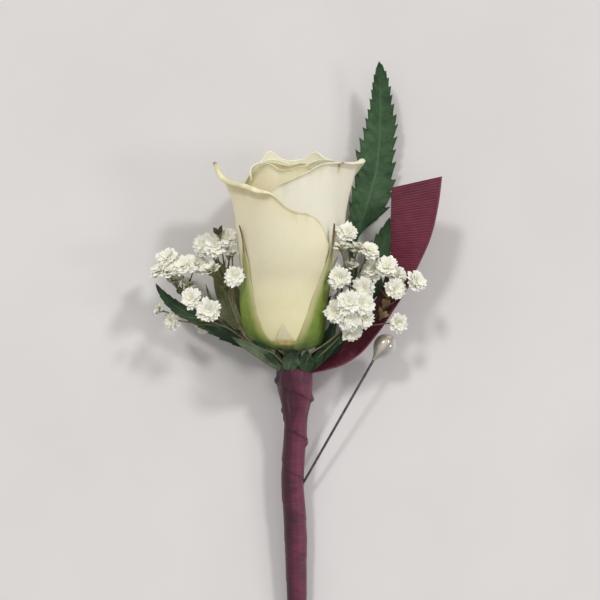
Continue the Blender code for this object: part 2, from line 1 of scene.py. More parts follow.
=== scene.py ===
"""Looks for the boutonniere: a white rose bud with fern, baby's breath, a maroon grosgrain
ribbon and a pearl-headed pin, lying on a pale table.

Shapes are worked out in the design frame of the part, in millimetres: X to the right, Y towards
the fern's tip, Z up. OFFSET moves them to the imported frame.
"""

import math

import bpy
import numpy as np
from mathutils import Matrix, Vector


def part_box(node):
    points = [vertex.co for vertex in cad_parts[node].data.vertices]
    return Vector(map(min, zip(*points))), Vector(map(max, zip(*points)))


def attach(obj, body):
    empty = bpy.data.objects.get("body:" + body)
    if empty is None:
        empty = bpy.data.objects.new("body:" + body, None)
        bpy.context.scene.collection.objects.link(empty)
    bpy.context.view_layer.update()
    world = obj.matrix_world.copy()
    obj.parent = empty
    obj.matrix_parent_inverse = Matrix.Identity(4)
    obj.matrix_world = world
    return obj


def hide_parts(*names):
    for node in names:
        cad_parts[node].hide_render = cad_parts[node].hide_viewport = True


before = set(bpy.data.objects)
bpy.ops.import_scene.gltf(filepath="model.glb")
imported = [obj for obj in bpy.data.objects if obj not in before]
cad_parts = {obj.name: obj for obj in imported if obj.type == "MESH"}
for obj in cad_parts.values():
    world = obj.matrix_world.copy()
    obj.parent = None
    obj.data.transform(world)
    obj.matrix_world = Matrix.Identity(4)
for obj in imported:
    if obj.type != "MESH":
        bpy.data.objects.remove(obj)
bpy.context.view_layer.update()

MM = 0.001
TAU = 2 * math.pi
# Where the low corner of three nodes lies in the design frame, on X, Y and Z.
DESIGN_CORNERS = (("sprig_left_mid", -40.8), ("rose_stem", -94.0), ("sprig_left_under", 0.1))
OFFSET = np.array([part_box(node)[0][axis] / MM - low for axis, (node, low) in enumerate(DESIGN_CORNERS)])


# ---------------------------------------------------------------- numbers along curves

def table(rows, key):
    """Smooth values at an array of keys, from rows of (key, value, ...) or one plain number."""
    if np.isscalar(rows):
        return np.full(np.shape(key), float(rows))
    rows = np.array(sorted(rows), float)
    keys, values = rows[:, 0], rows[:, 1:]
    slopes = np.empty_like(values)
    slopes[0] = (values[1] - values[0]) / (keys[1] - keys[0])
    slopes[-1] = (values[-1] - values[-2]) / (keys[-1] - keys[-2])
    if len(keys) > 2:
        slopes[1:-1] = (values[2:] - values[:-2]) / (keys[2:] - keys[:-2])[:, None]
    key = np.clip(np.asarray(key, float), keys[0], keys[-1])
    low = np.clip(np.searchsorted(keys, key, side="right") - 1, 0, len(keys) - 2)
    width = keys[low + 1] - keys[low]
    t = ((key - keys[low]) / width)[..., None]
    width = width[..., None]
    start, end = values[low], values[low + 1]
    rise = end - start
    into, out = slopes[low] * width, slopes[low + 1] * width
    found = start + t * (into + t * (3 * rise - 2 * into - out + t * (into + out - 2 * rise)))
    return found[..., 0] if found.shape[-1] == 1 else found


def straight(rows, key):
    """Values at an array of keys, on straight lines between rows of (key, value)."""
    return np.interp(key, *np.array(rows, float).T)


def lengths(points):
    """Distance along a line of points, at each of them."""
    return np.concatenate([[0], np.cumsum(np.linalg.norm(np.diff(points, axis=0), axis=1))])


def path(points, count):
    """Points evenly spread along a smooth curve through the given points."""
    points = np.array(points, float)
    steps = lengths(points[:, :3])
    rows = [(step, *point) for step, point in zip(steps, points)]
    return table(rows, np.linspace(0, steps[-1], count))


def unit(vectors):
    """Vectors scaled to length one."""
    return vectors / np.maximum(np.linalg.norm(vectors, axis=-1, keepdims=True), 1e-9)


def rise(value, start, width):
    """0 up to start, then evenly up to 1 over width."""
    return np.clip((value - start) / width, 0, 1)


def bell(value, middle, width):
    """A smooth hump of height 1 about middle."""
    return np.exp(-((value - middle) / width) ** 2)


def wobble(seed, *coords):
    """Smooth made-up unevenness from -1 to 1, the same on every run."""
    rng = np.random.default_rng(seed)
    total = 0.0
    for octave in range(4):
        phase = rng.uniform(0, TAU)
        turned = phase
        for coord in coords:
            turned = turned + coord * rng.uniform(0.6, 1.4) * rng.choice([-1, 1]) * 1.7 ** octave
        total = total + np.sin(turned) / 1.6 ** octave
    return total / 2.4


# ---------------------------------------------------------------- mesh making

def place_new(name, data):
    """A new object in the scene."""
    thing = bpy.data.objects.new(name, data)
    bpy.context.scene.collection.objects.link(thing)
    return thing


class Shape:
    """Points, faces, UVs, material numbers and named masks gathered into one mesh."""

    def __init__(self):
        self.points, self.faces, self.uvs, self.slots, self.masks = [], [], [], [], []
        self.count = 0

    def add(self, points, faces, uvs, slot=0, mask=0.0):
        points = np.asarray(points, float).reshape(-1, 3)
        size = len(points)
        self.points.append(points)
        self.faces += [tuple(index + self.count for index in face) for face in faces]
        self.uvs.append(np.asarray(uvs, float).reshape(-1, 2))
        self.masks.append(np.broadcast_to(np.reshape(mask, -1), size).astype(float))
        self.slots += slot if isinstance(slot, list) else [slot] * len(faces)
        self.count += size

    def build(self, name, materials, node):
        """The finished piece; it rides on the root and stands for the CAD node."""
        mesh = bpy.data.meshes.new(name)
        points = (np.concatenate(self.points) + OFFSET) * MM
        mesh.from_pydata(points.tolist(), [], self.faces)
        for material in materials:
            mesh.materials.append(material)
        mesh.polygons.foreach_set("material_index", self.slots)
        mesh.polygons.foreach_set("use_smooth", [True] * len(mesh.polygons))
        corners = np.empty(len(mesh.loops), np.int32)
        mesh.loops.foreach_get("vertex_index", corners)
        layer = mesh.uv_layers.new(name="Surface")
        layer.data.foreach_set("uv", np.concatenate(self.uvs)[corners].astype(np.float32).ravel())
        mask = mesh.attributes.new("mask", "FLOAT", "POINT")
        mask.data.foreach_set("value", np.concatenate(self.masks).astype(np.float32))
        mesh.validate()
        mesh.update()
        piece = place_new(name, mesh)
        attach(piece, "root")
        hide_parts(node)
        return piece


def grid_faces(rows, columns, closed=False, start=0, flip=False):
    """Quads of a grid of rows by columns points; closed joins the last column to the first."""
    across = columns if closed else columns - 1
    r, c = np.meshgrid(np.arange(rows - 1), np.arange(across), indexing="ij")
    after = (c + 1) % columns
    quads = np.stack([r * columns + c, r * columns + after,
                      (r + 1) * columns + after, (r + 1) * columns + c], -1).reshape(-1, 4) + start
    if flip:
        quads = quads[:, ::-1]
    return [tuple(quad) for quad in quads.tolist()]


def grid_uv(rows, columns):
    """UVs of a grid: u across and v along."""
    v, u = np.meshgrid(np.linspace(0, 1, rows), np.linspace(0, 1, columns), indexing="ij")
    return np.stack([u, v], -1)


def grid_normals(grid):
    """Unit normals of an open grid of points."""
    along = np.gradient(grid, axis=0)
    across = np.gradient(grid, axis=1)
    return unit(np.cross(across, along))


def ring_faces(rows, sides, caps=True):
    """Faces of a stack of rings, with a cap on its first and last ring."""
    faces = grid_faces(rows, sides, closed=True)
    if caps:
        faces.append(tuple(range(sides))[::-1])
        faces.append(tuple(range((rows - 1) * sides, rows * sides)))
    return faces


def slab(shape, grid, thickness, slot, mask, uvs=None):
    """A closed thin sheet about a grid of points, with its own thickness at each point."""
    rows, columns = grid.shape[:2]
    total = rows * columns
    uvs = grid_uv(rows, columns) if uvs is None else uvs
    offset = grid_normals(grid) * (np.broadcast_to(thickness, (rows, columns)) / 2)[..., None]
    rim = list(range(columns)) + [r * columns + columns - 1 for r in range(1, rows)]
    rim += [(rows - 1) * columns + c for c in range(columns - 2, -1, -1)]
    rim += [r * columns for r in range(rows - 2, 0, -1)]
    faces = grid_faces(rows, columns) + grid_faces(rows, columns, start=total, flip=True)
    faces += [(after, here, total + here, total + after) for here, after in zip(rim, rim[1:] + rim[:1])]
    points = np.concatenate([(grid + offset).reshape(-1, 3), (grid - offset).reshape(-1, 3)])
    masks = np.tile(np.broadcast_to(mask, (rows, columns)).reshape(-1), 2)
    shape.add(points, faces, np.tile(uvs.reshape(-1, 2), (2, 1)), slot, masks)


def outward_slab(shape, grid, thickness, mask, uvs):
    """A thin sheet on the bud: its columns are turned round, so that its front faces outwards."""
    slab(shape, grid[:, ::-1], thickness[:, ::-1], 0, mask[:, ::-1], uvs[:, ::-1])


def spread(values, rows, sides):
    """Values of every point of the rings, from one value, one for each ring, or all of them."""
    values = np.asarray(values, float)
    return np.broadcast_to(values if values.ndim == 2 else values.reshape(-1, 1), (rows, sides))


def turned(shape, centres, first, second, radii, sides, slot=0, mask=0.0, caps=True):
    """Rings about centres; first and second are the two axes of all rings, or of each ring."""
    rows = len(centres)
    angles = TAU * np.arange(sides)[:, None] / sides
    first = np.broadcast_to(first, (rows, 3))[:, None]
    second = np.broadcast_to(second, (rows, 3))[:, None]
    ring = np.cos(angles) * first + np.sin(angles) * second
    grid = centres[:, None] + spread(radii, rows, sides)[..., None] * ring
    faces = ring_faces(rows, sides, caps)
    shape.add(grid, faces, grid_uv(rows, sides), slot, spread(mask, rows, sides))


def tube(shape, points, radii, sides, slot=0, mask=0.0):
    """A round tube along points, closed at its ends."""
    points = np.asarray(points, float)
    tangents = unit(np.gradient(points, axis=0))
    side = np.cross(tangents[0], [0.0, 0.0, 1.0])
    if np.linalg.norm(side) < 0.2:
        side = np.cross(tangents[0], [0.0, 1.0, 0.0])
    sideways = []
    for tangent in tangents:
        side = unit(side - tangent * np.dot(side, tangent))
        sideways.append(side)
    turned(shape, points, sideways, np.cross(tangents, sideways), radii, sides, slot, mask)


# ---------------------------------------------------------------- materials

class Finish:
    """A Principled material whose colour, roughness and bump come from patterns in its nodes.

    u and v are the shape's own chart, mask is the mask of its points, and base is the colour so
    far. Scales of noise are per millimetre.
    """

    def __init__(self, name, **sockets):
        self.material = bpy.data.materials.new(name)
        self.material.use_nodes = True
        self.tree = self.material.node_tree
        self.shader = self.tree.nodes["Principled BSDF"]
        for socket, value in sockets.items():
            self.shader.inputs[socket.replace("_", " ")].default_value = value
        where = self.node("TexCoord", {}, "Object")
        self.place = self.node("VectorMath", {0: where, "Scale": 1 / MM}, operation="SCALE")
        self.chart = self.node("UVMap", {}, uv_map="Surface")
        self.u = self.node("SeparateXYZ", {0: self.chart})
        self.v = self.u.node.outputs[1]
        self.mask = self.node("Attribute", {}, "Fac", attribute_name="mask")

    def node(self, kind, inputs, output=0, **settings):
        """An output of a new node; each input is another output, a number or a colour."""
        made = self.tree.nodes.new("ShaderNode" + kind)
        for key, value in settings.items():
            setattr(made, key, value)
        for key, value in inputs.items():
            socket = made.inputs[key]
            if isinstance(value, bpy.types.NodeSocket):
                self.tree.links.new(value, socket)
            else:
                socket.default_value = (*value, 1.0) if socket.type == "RGBA" else value
        return made.outputs[output]

    def noise(self, scale, detail=3.0, rough=0.55, warp=0.0, vector=None):
        return self.node("TexNoise", {"Vector": vector or self.place, "Scale": scale, "Detail": detail,
                                      "Roughness": rough, "Distortion": warp}, "Fac")

    def streaks(self, across, along, detail=3.0, rough=0.55, warp=0.0):
        """Noise drawn out on the chart, with its own scale across and along."""
        chart = self.node("Mapping", {"Vector": self.chart, "Scale": (across, along, 1.0)})
        return self.noise(1.0, detail, rough, warp, chart)

    def wave(self, scale, vector, distortion, detail_scale=1.0):
        return self.node("TexWave", {"Vector": vector, "Scale": scale, "Distortion": distortion,
                                     "Detail": 2.0, "Detail Scale": detail_scale}, "Fac")

    def math(self, operation, first, second=0.0):
        return self.node("Math", {0: first, 1: second}, operation=operation)

    def plus(self, first, second):
        return self.math("ADD", first, second)

    def times(self, first, second):
        return self.math("MULTIPLY", first, second)

    def drift(self, value, clouds, amount):
        """value pushed up and down by clouds."""
        return self.plus(value, self.times(self.math("SUBTRACT", clouds, 0.5), amount))

    def across(self):
        """Distance from the middle line of the chart, from 0 to 0.5."""
        return self.math("ABSOLUTE", self.math("SUBTRACT", self.u, 0.5))

    def span(self, value, low, high, out_low=0.0, out_high=1.0):
        """value from low..high moved to out_low..out_high, smoothly and clamped."""
        return self.node("MapRange", {"Value": value, "From Min": low, "From Max": high,
                                      "To Min": out_low, "To Max": out_high},
                         "Result", interpolation_type="SMOOTHSTEP")

    def blend(self, share, first, second):
        return self.node("Mix", {"Factor": share, 6: first, 7: second}, 2, data_type="RGBA")

    def ramp(self, value, stops):
        colours = self.node("ValToRGB", {0: value})
        marks = colours.node.color_ramp.elements
        while len(marks) < len(stops):
            marks.new(0.5)
        for mark, (position, colour) in zip(marks, stops):
            mark.position = position
            mark.color = (*colour, 1.0)
        return colours

    def start(self, value, low, high, first, second):
        """The base colour goes from first to second where value goes from low to high."""
        self.base = self.blend(self.span(value, low, high), first, second)

    def cover(self, share, colour):
        """Lay a share of a colour over the base."""
        self.base = self.blend(share, self.base, colour)

    def tint(self, value, low, high, colour, most=1.0):
        """Lay a colour over the base where value goes from low to high, up to a share of most."""
        self.cover(self.span(value, low, high, 0.0, most), colour)

    def done(self, roughness, relief, depth, strength):
        """Join the patterns to the shader; roughness is a span, depth the relief in millimetres."""
        bump = self.node("Bump", {"Height": relief, "Distance": depth * MM, "Strength": strength})
        self.tree.links.new(self.base, self.shader.inputs["Base Color"])
        self.tree.links.new(bump, self.shader.inputs["Normal"])
        if roughness:
            self.tree.links.new(self.span(*roughness), self.shader.inputs["Roughness"])
        return self.material


def shade(colour, share, most=1.0):
    """A colour made darker or lighter."""
    return tuple(min(part * share, most) for part in colour)


def petal_finish(name, foot, body, crown, rim, spot=(0.30, 0.17, 0.07)):
    """Rose petal: soft gradient from foot to rim, faint long veins and a bruised edge."""
    f = Finish(name, Subsurface_Weight=0.22, Subsurface_Scale=1.2 * MM, Specular_IOR_Level=0.25,
               Subsurface_Radius=(1.0, 0.75, 0.4), Sheen_Weight=0.12, Sheen_Roughness=0.5)
    veins = f.streaks(95.0, 3.2, 4.0, 0.6, 0.3)
    clouds = f.noise(0.16, 4.0, 0.6, 0.4)
    fine = f.noise(2.4)
    low_body = tuple(0.35 * a + 0.65 * b for a, b in zip(foot, body))
    f.base = f.ramp(f.drift(f.v, clouds, 0.22),
                    [(0.0, foot), (0.3, low_body), (0.55, body), (0.86, crown), (1.0, crown)])
    f.tint(veins, 0.25, 0.8, shade(body, 0.86), 0.14)
    f.tint(clouds, 0.35, 0.75, shade(crown, 1.04, 0.95), 0.22)
    f.tint(f.mask, 0.05, 0.55, rim)
    f.cover(f.times(f.span(f.mask, 0.62, 0.95), f.span(fine, 0.3, 0.55, 0.55, 1.0)), spot)
    relief = f.plus(f.times(veins, 0.7), f.times(fine, 0.25))
    return f.done((veins, 0.2, 0.8, 0.52, 0.66), relief, 0.09, 0.7)


def leaf_finish(name, dark, light, rib, rough, vein_scale, bloom=None):
    """Green leaf: a paler midrib, slanting side veins, mottling and perhaps a waxy bloom."""
    f = Finish(name, Specular_IOR_Level=0.4, Subsurface_Weight=0.05, Subsurface_Scale=0.8 * MM)
    across = f.across()
    slant = f.math("SUBTRACT", f.v, f.times(across, 0.22))
    veins = f.wave(vein_scale, f.node("CombineXYZ", {0: slant, 1: across}), 1.2, 2.0)
    clouds = f.noise(0.35, 4.0, 0.62, 0.5)
    fine = f.noise(3.2)
    f.start(clouds, 0.3, 0.72, dark, light)
    f.tint(fine, 0.35, 0.7, shade(dark, 0.55), 0.35)
    f.tint(veins, 0.72, 0.98, shade(light, 1.5), 0.35)
    f.tint(across, 0.045, 0.012, rib)
    if bloom:
        f.tint(f.mask, 0.1, 0.9, bloom)
    relief = f.plus(f.times(veins, 0.5), f.times(fine, 0.4))
    return f.done((clouds, 0.3, 0.7, rough - 0.07, rough + 0.12), relief, 0.12, 0.8)


def sepal_finish():
    """Sepal: bright green along its middle, pale see-through margins with a tan edge."""
    f = Finish("sepal_green", Specular_IOR_Level=0.35, Subsurface_Weight=0.15, Subsurface_Scale=MM)
    clouds = f.noise(0.5, 4.0, 0.6, 0.5)
    veins = f.streaks(42.0, 2.6, 3.0, 0.6)
    f.base = f.ramp(f.drift(f.v, clouds, 0.3),
                    [(0.0, (0.050, 0.085, 0.018)), (0.12, (0.135, 0.205, 0.028)),
                     (0.38, (0.27, 0.37, 0.060)), (0.56, (0.44, 0.50, 0.18)),
                     (0.74, (0.44, 0.41, 0.19)), (0.86, (0.20, 0.14, 0.06)), (1.0, (0.11, 0.065, 0.03))])
    f.tint(veins, 0.4, 0.75, (0.115, 0.17, 0.03), 0.4)
    pale = f.blend(f.span(f.v, 0.2, 0.65), (0.32, 0.33, 0.10), (0.60, 0.57, 0.32))
    margin = f.span(f.plus(f.times(f.across(), 2.0), f.times(clouds, 0.16)), 0.62, 0.98)
    margin = f.times(f.times(margin, f.span(f.v, 0.03, 0.22)), f.span(f.v, 0.97, 0.72))
    f.cover(margin, pale)
    f.cover(f.times(f.mask, f.span(veins, 0.25, 0.7, 0.6, 1.0)), (0.56, 0.51, 0.27))
    return f.done((clouds, 0.3, 0.7, 0.42, 0.58), f.plus(veins, f.times(clouds, 0.6)), 0.1, 0.8)


def floret_finish():
    """Baby's breath petal: papery white, greener towards the middle of the flower."""
    f = Finish("baby_breath_white", Specular_IOR_Level=0.25)
    clouds = f.noise(1.4)
    veins = f.streaks(22.0, 2.0)
    f.start(f.v, 0.0, 0.4, (0.84, 0.81, 0.53), (0.94, 0.92, 0.81))
    f.tint(f.v, 0.4, 1.0, (0.955, 0.94, 0.87))
    f.tint(veins, 0.45, 0.75, (0.80, 0.79, 0.62), 0.16)
    f.tint(clouds, 0.5, 0.85, (0.82, 0.80, 0.62), 0.16)
    f.cover(f.mask, (0.66, 0.66, 0.36))
    return f.done((clouds, 0.3, 0.7, 0.55, 0.75), veins, 0.05, 0.8)


def calyx_finish():
    """The small green cup under a floret."""
    f = Finish("floret_calyx", Specular_IOR_Level=0.3)
    clouds = f.noise(1.6)
    ribs = f.wave(2.6, f.chart, 0.6)
    f.start(clouds, 0.3, 0.7, (0.10, 0.12, 0.035), (0.26, 0.28, 0.10))
    f.tint(ribs, 0.6, 1.0, (0.40, 0.40, 0.20), 0.5)
    return f.done((clouds, 0.3, 0.7, 0.5, 0.7), ribs, 0.08, 0.7)


def stalk_finish(name, green, brown, dark):
    """Thin stalk: green in places and brown in others, with dark nodes."""
    f = Finish(name, Specular_IOR_Level=0.35)
    fine = f.noise(3.5, 2.0)
    f.start(f.noise(0.45, 4.0, 0.65), 0.38, 0.62, green, brown)
    f.tint(fine, 0.5, 0.8, dark, 0.4)
    f.cover(f.mask, dark)
    return f.done((fine, 0.3, 0.7, 0.45, 0.68), fine, 0.06, 0.8)


def ribbon_finish(name, dark, body, light):
    """Grosgrain: thread by thread colour along each rib, with a soft silky sheen, and painted shade where
    its mask is high.
    """
    f = Finish(name, Specular_IOR_Level=0.42, Sheen_Weight=0.1, Sheen_Roughness=0.35,
               Sheen_Tint=(0.95, 0.62, 0.68, 1.0))
    warps = f.streaks(150.0, 9.0, 2.0, 0.6)
    ribs = f.streaks(2.0, 95.0, 2.0, 0.5)
    f.start(f.noise(0.12, 4.0, 0.6, 0.4), 0.3, 0.7, dark, body)
    f.tint(ribs, 0.35, 0.7, light, 0.35)
    f.tint(warps, 0.5, 0.8, dark, 0.35)
    # Painted shade: the mask darkens the colour towards a third of the dark thread colour.
    f.cover(f.times(f.mask, 0.72), shade(dark, 0.35))
    return f.done((ribs, 0.3, 0.7, 0.36, 0.50), f.plus(warps, f.times(ribs, 0.5)), 0.05, 0.8)


def steel_finish():
    """Pin wire: drawn steel with fine lengthwise lines and dull specks."""
    f = Finish("pin_steel", Metallic=1.0)
    lines = f.streaks(9.0, 40.0, 3.0, 0.6)
    specks = f.noise(1.1, 4.0)
    f.start(specks, 0.35, 0.7, (0.15, 0.135, 0.13), (0.22, 0.205, 0.20))
    f.tint(lines, 0.45, 0.75, (0.12, 0.11, 0.105), 0.2)
    return f.done((specks, 0.3, 0.7, 0.22, 0.38), lines, 0.02, 0.5)


def pearl_finish():
    """Pearl head: grey, with painted reflections: a dark band and a cream one beyond it on one side,
    lighter grey on the other, under a clear lustre.
    """
    f = Finish("pin_pearl_lustre", Coat_Weight=1.0, Coat_Roughness=0.04, Coat_IOR=1.9,
               Specular_IOR_Level=0.7, Subsurface_Weight=0.1, Subsurface_Scale=0.6 * MM)
    clouds = f.noise(0.28, 3.0, 0.5, 0.6)
    fine = f.noise(4.0, 2.0)
    # Painted reflections from the mask: lighter grey at 0, a dark band near 0.7 to 0.8, a cream-tan band
    # near 0.9 to 0.96.
    f.base = f.ramp(f.drift(f.mask, clouds, 0.16),
                    [(0.0, (0.56, 0.55, 0.54)), (0.50, (0.50, 0.48, 0.47)), (0.70, (0.34, 0.32, 0.30)),
                     (0.80, (0.28, 0.26, 0.23)), (0.90, (0.60, 0.53, 0.40)), (0.96, (0.66, 0.60, 0.48)),
                     (1.0, (0.40, 0.37, 0.31))])
    f.tint(fine, 0.4, 0.7, (0.80, 0.70, 0.66), 0.12)
    return f.done((clouds, 0.3, 0.7, 0.12, 0.22), fine, 0.01, 0.4)


def cut_wood_finish():
    """Cut end of the stem: green rind, pale fibrous wood and a lighter pith."""
    f = Finish("stem_cut_end", Specular_IOR_Level=0.25)
    fibres = f.node("TexVoronoi", {"Vector": f.place, "Scale": 6.0}, "Distance")
    clouds = f.noise(2.0)
    f.base = f.ramp(f.mask, [(0.0, (0.10, 0.14, 0.05)), (0.25, (0.24, 0.28, 0.12)),
                             (0.6, (0.46, 0.47, 0.26)), (1.0, (0.60, 0.58, 0.42))])
    f.cover(f.span(fibres, 0.1, 0.5, 0.35, 0.0), (0.22, 0.18, 0.08))
    f.tint(clouds, 0.5, 0.8, (0.30, 0.22, 0.10), 0.3)
    return f.done((clouds, 0.3, 0.7, 0.6, 0.8), fibres, 0.08, 0.8)


def cup_finish():
    """Cup under the petals: yellow-green with a torn brown scar in front."""
    f = Finish("calyx_cup", Specular_IOR_Level=0.3)
    clouds = f.noise(0.8, 4.0)
    streaks = f.streaks(70.0, 4.0)
    fine = f.noise(4.5)
    f.start(clouds, 0.3, 0.7, (0.060, 0.105, 0.020), (0.100, 0.155, 0.030))
    f.tint(f.v, 0.77, 0.90, (0.34, 0.37, 0.10))
    f.tint(streaks, 0.4, 0.75, (0.40, 0.42, 0.15), 0.3)
    scar = f.ramp(fine, [(0.3, (0.34, 0.19, 0.07)), (0.48, (0.58, 0.42, 0.19)),
                         (0.62, (0.74, 0.62, 0.34)), (0.75, (0.46, 0.27, 0.10))])
    f.tint(f.mask, 0.25, 0.7, scar)
    return f.done((clouds, 0.3, 0.7, 0.5, 0.7), f.plus(streaks, fine), 0.12, 0.9)


def floor_finish():
    """Pale paper-smooth table."""
    f = Finish("pale_table", Roughness=0.7, Specular_IOR_Level=0.2)
    grain = f.noise(0.9)
    f.start(f.noise(0.02, 3.0, 0.5), 0.3, 0.7, (0.72, 0.698, 0.688), (0.753, 0.73, 0.72))
    f.tint(grain, 0.4, 0.7, (0.72, 0.70, 0.69), 0.05)
    return f.done(None, grain, 0.02, 0.3)


# Leaves: dark, light, midrib, roughness and how close the side veins lie.
FERN = leaf_finish("fern_green", (0.018, 0.052, 0.020), (0.058, 0.135, 0.052), (0.066, 0.138, 0.054),
                   0.42, 34.0)
DEEP = leaf_finish("leaf_deep_green", (0.012, 0.034, 0.014), (0.038, 0.094, 0.036),
                   (0.066, 0.120, 0.046), 0.44, 20.0)
OLIVE = leaf_finish("leaf_olive", (0.17, 0.20, 0.09), (0.31, 0.34, 0.18), (0.48, 0.48, 0.34), 0.55,
                    14.0)
UNDERSIDE = leaf_finish("leaf_underside", (0.070, 0.098, 0.052), (0.125, 0.160, 0.095),
                        (0.17, 0.20, 0.125), 0.5, 12.0)
YOUNG = leaf_finish("leaf_young", (0.034, 0.066, 0.028), (0.078, 0.125, 0.060), (0.10, 0.15, 0.075),
                    0.5, 12.0)
BRACT = leaf_finish("bract_pale", (0.20, 0.21, 0.10), (0.34, 0.34, 0.19), (0.42, 0.41, 0.27), 0.55, 4.0)
GREY_GREEN = leaf_finish("hip_grey_green", (0.18, 0.24, 0.13), (0.30, 0.36, 0.22), (0.32, 0.38, 0.24),
                         0.5, 6.0, bloom=(0.40, 0.46, 0.32))

# Stalks: green, brown and the dark of the nodes.
STEM = stalk_finish("rose_stem_green", (0.10, 0.14, 0.055), (0.15, 0.16, 0.07), (0.06, 0.07, 0.03))
STALK = stalk_finish("sprig_stalk", (0.115, 0.125, 0.050), (0.17, 0.13, 0.075), (0.055, 0.040, 0.022))
WITHERED = stalk_finish("dry_bract", (0.26, 0.22, 0.085), (0.30, 0.175, 0.075), (0.055, 0.045, 0.026))

# Petals: foot, body, crown and rim, and for the dry scrap its own spots.
CREAM = petal_finish("petal_cream", (0.78, 0.70, 0.35), (0.97, 0.87, 0.61), (0.97, 0.86, 0.60),
                     (0.66, 0.63, 0.37))
WHITE = petal_finish("petal_white", (0.74, 0.69, 0.38), (0.93, 0.87, 0.70), (0.94, 0.88, 0.72),
                     (0.72, 0.68, 0.46))
INNER = petal_finish("petal_inner", (0.78, 0.70, 0.38), (0.95, 0.86, 0.59), (0.95, 0.86, 0.60),
                     (0.80, 0.76, 0.50))
PALE = petal_finish("petal_pale", (0.74, 0.69, 0.38), (0.90, 0.85, 0.64), (0.92, 0.88, 0.70),
                    (0.82, 0.82, 0.60))
SCRAP = petal_finish("petal_scrap", (0.78, 0.71, 0.36), (0.84, 0.76, 0.46), (0.84, 0.75, 0.46),
                     (0.66, 0.56, 0.28), (0.50, 0.30, 0.12))

# Ribbon: dark threads, body and light threads.
RIBBON = ribbon_finish("grosgrain_maroon", (0.125, 0.018, 0.040), (0.180, 0.026, 0.054),
                       (0.235, 0.045, 0.080))
RIBBON_WOUND = ribbon_finish("grosgrain_wound", (0.070, 0.016, 0.035), (0.165, 0.026, 0.062),
                             (0.21, 0.042, 0.088))

SEPAL = sepal_finish()
FLORET = floret_finish()
CALYX = calyx_finish()
CUT_WOOD = cut_wood_finish()
CUP = cup_finish()
STEEL = steel_finish()
PEARL = pearl_finish()


# ---------------------------------------------------------------- table, light and camera

TABLE_HALF_WIDTH = 2.0    # metres
TABLE_GAP = 0.02          # between the table and the lowest point
CAMERA_HEIGHT = 300.0
VIEW_WIDTH = 168.0        # of the design plane Z = 0 that the camera sees
SENSOR_WIDTH = 36.0

# Each light's direction is the way a tall point's shadow falls, per millimetre of height; then
# its strength and how many degrees of the sky it fills.
LIGHTS = (("key_light", (-0.84, -0.86), 1.06, 8.0),
          ("top_light", (0.49, -0.74), 0.98, 9.0),
          ("side_light", (-1.5, 0.25), 0.34, 12.0))
ROOM_COLOUR, ROOM_LIGHT = (1.0, 0.985, 0.975, 1.0), 0.455


def make_stage():
    """A pale table, three soft lights and a camera that looks straight down."""
    half = TABLE_HALF_WIDTH
    mesh = bpy.data.meshes.new("table_top")
    mesh.from_pydata([(-half, -half, 0), (half, -half, 0), (half, half, 0), (-half, half, 0)], [],
                     [(0, 1, 2, 3)])
    mesh.materials.append(floor_finish())
    mesh.uv_layers.new(name="Surface")
    table_top = place_new("table_top", mesh)
    table_top.location.z = -TABLE_GAP * MM

    world = bpy.data.worlds.new("soft_room")
    world.use_nodes = True
    room = world.node_tree.nodes["Background"]
    room.inputs["Color"].default_value = ROOM_COLOUR
    room.inputs["Strength"].default_value = ROOM_LIGHT
    scene = bpy.context.scene
    scene.world = world
    scene.view_settings.view_transform = "Standard"

    for name, fall, power, spread_angle in LIGHTS:
        sun = bpy.data.lights.new(name, "SUN")
        sun.energy = power
        sun.angle = math.radians(spread_angle)
        lamp = place_new(name, sun)
        lamp.rotation_mode = "QUATERNION"
        lamp.rotation_quaternion = Vector((*fall, -1.0)).to_track_quat("-Z", "Y")

    lens = bpy.data.cameras.new("view_from_above")
    lens.sensor_width = SENSOR_WIDTH
    lens.lens = SENSOR_WIDTH * CAMERA_HEIGHT / VIEW_WIDTH
    lens.clip_start, lens.clip_end = 0.01, 10.0
    camera = place_new("view_from_above", lens)
    camera.location = (np.array([0.0, 0.0, CAMERA_HEIGHT]) + OFFSET) * MM
    scene.camera = camera


make_stage()


# ---------------------------------------------------------------- rose bud

BUD_BASE = np.array([-2.3, -13.2, 9.8])
BUD_TILT = math.radians(9.0)
# Radius of the bud, and how far its middle lies to the right, at each height above the base.
BUD_PROFILE = [(0.0, 7.0), (1.5, 8.4), (4.5, 10.1), (8.0, 10.8), (14.0, 11.3), (20.0, 12.0),
               (25.0, 13.4), (30.0, 14.4), (40.0, 15.0), (46.0, 15.4), (56.0, 16.0)]
BUD_SWAY = [(0.0, 0.0), (2.0, -1.0), (4.5, -1.7), (8.0, -2.05), (14.0, -2.0), (20.0, -1.3),
            (25.0, -0.7), (30.0, -0.2), (56.0, 0.0)]
PETAL_PITCH = 0.92        # from one petal's surface to the next one's
PETAL_GAP = 0.2
PETAL_THICKNESS = 0.34
PETAL_LENGTH = 52.0       # height at which a petal's chart ends
FLARE_START = 34.0        # height above which a rim may lean out
SWELL_START, SWELL_WIDTH = 14, 9
ROLL_STEPS = 9            # rows of points in the rolled rim


def bud_place(turn, radius, height):
    """Design-frame points of the bud; turn is in degrees from the upper side, to the right."""
    angle = np.radians(turn)
    x = BUD_BASE[0] + table(BUD_SWAY, height) + radius * np.sin(angle)
    y = BUD_BASE[1] + height * math.cos(BUD_TILT) - radius * np.cos(angle) * math.sin(BUD_TILT)
    z = BUD_BASE[2] + height * math.sin(BUD_TILT) + radius * np.cos(angle) * math.cos(BUD_TILT)
    return np.stack([x, y, z], -1)


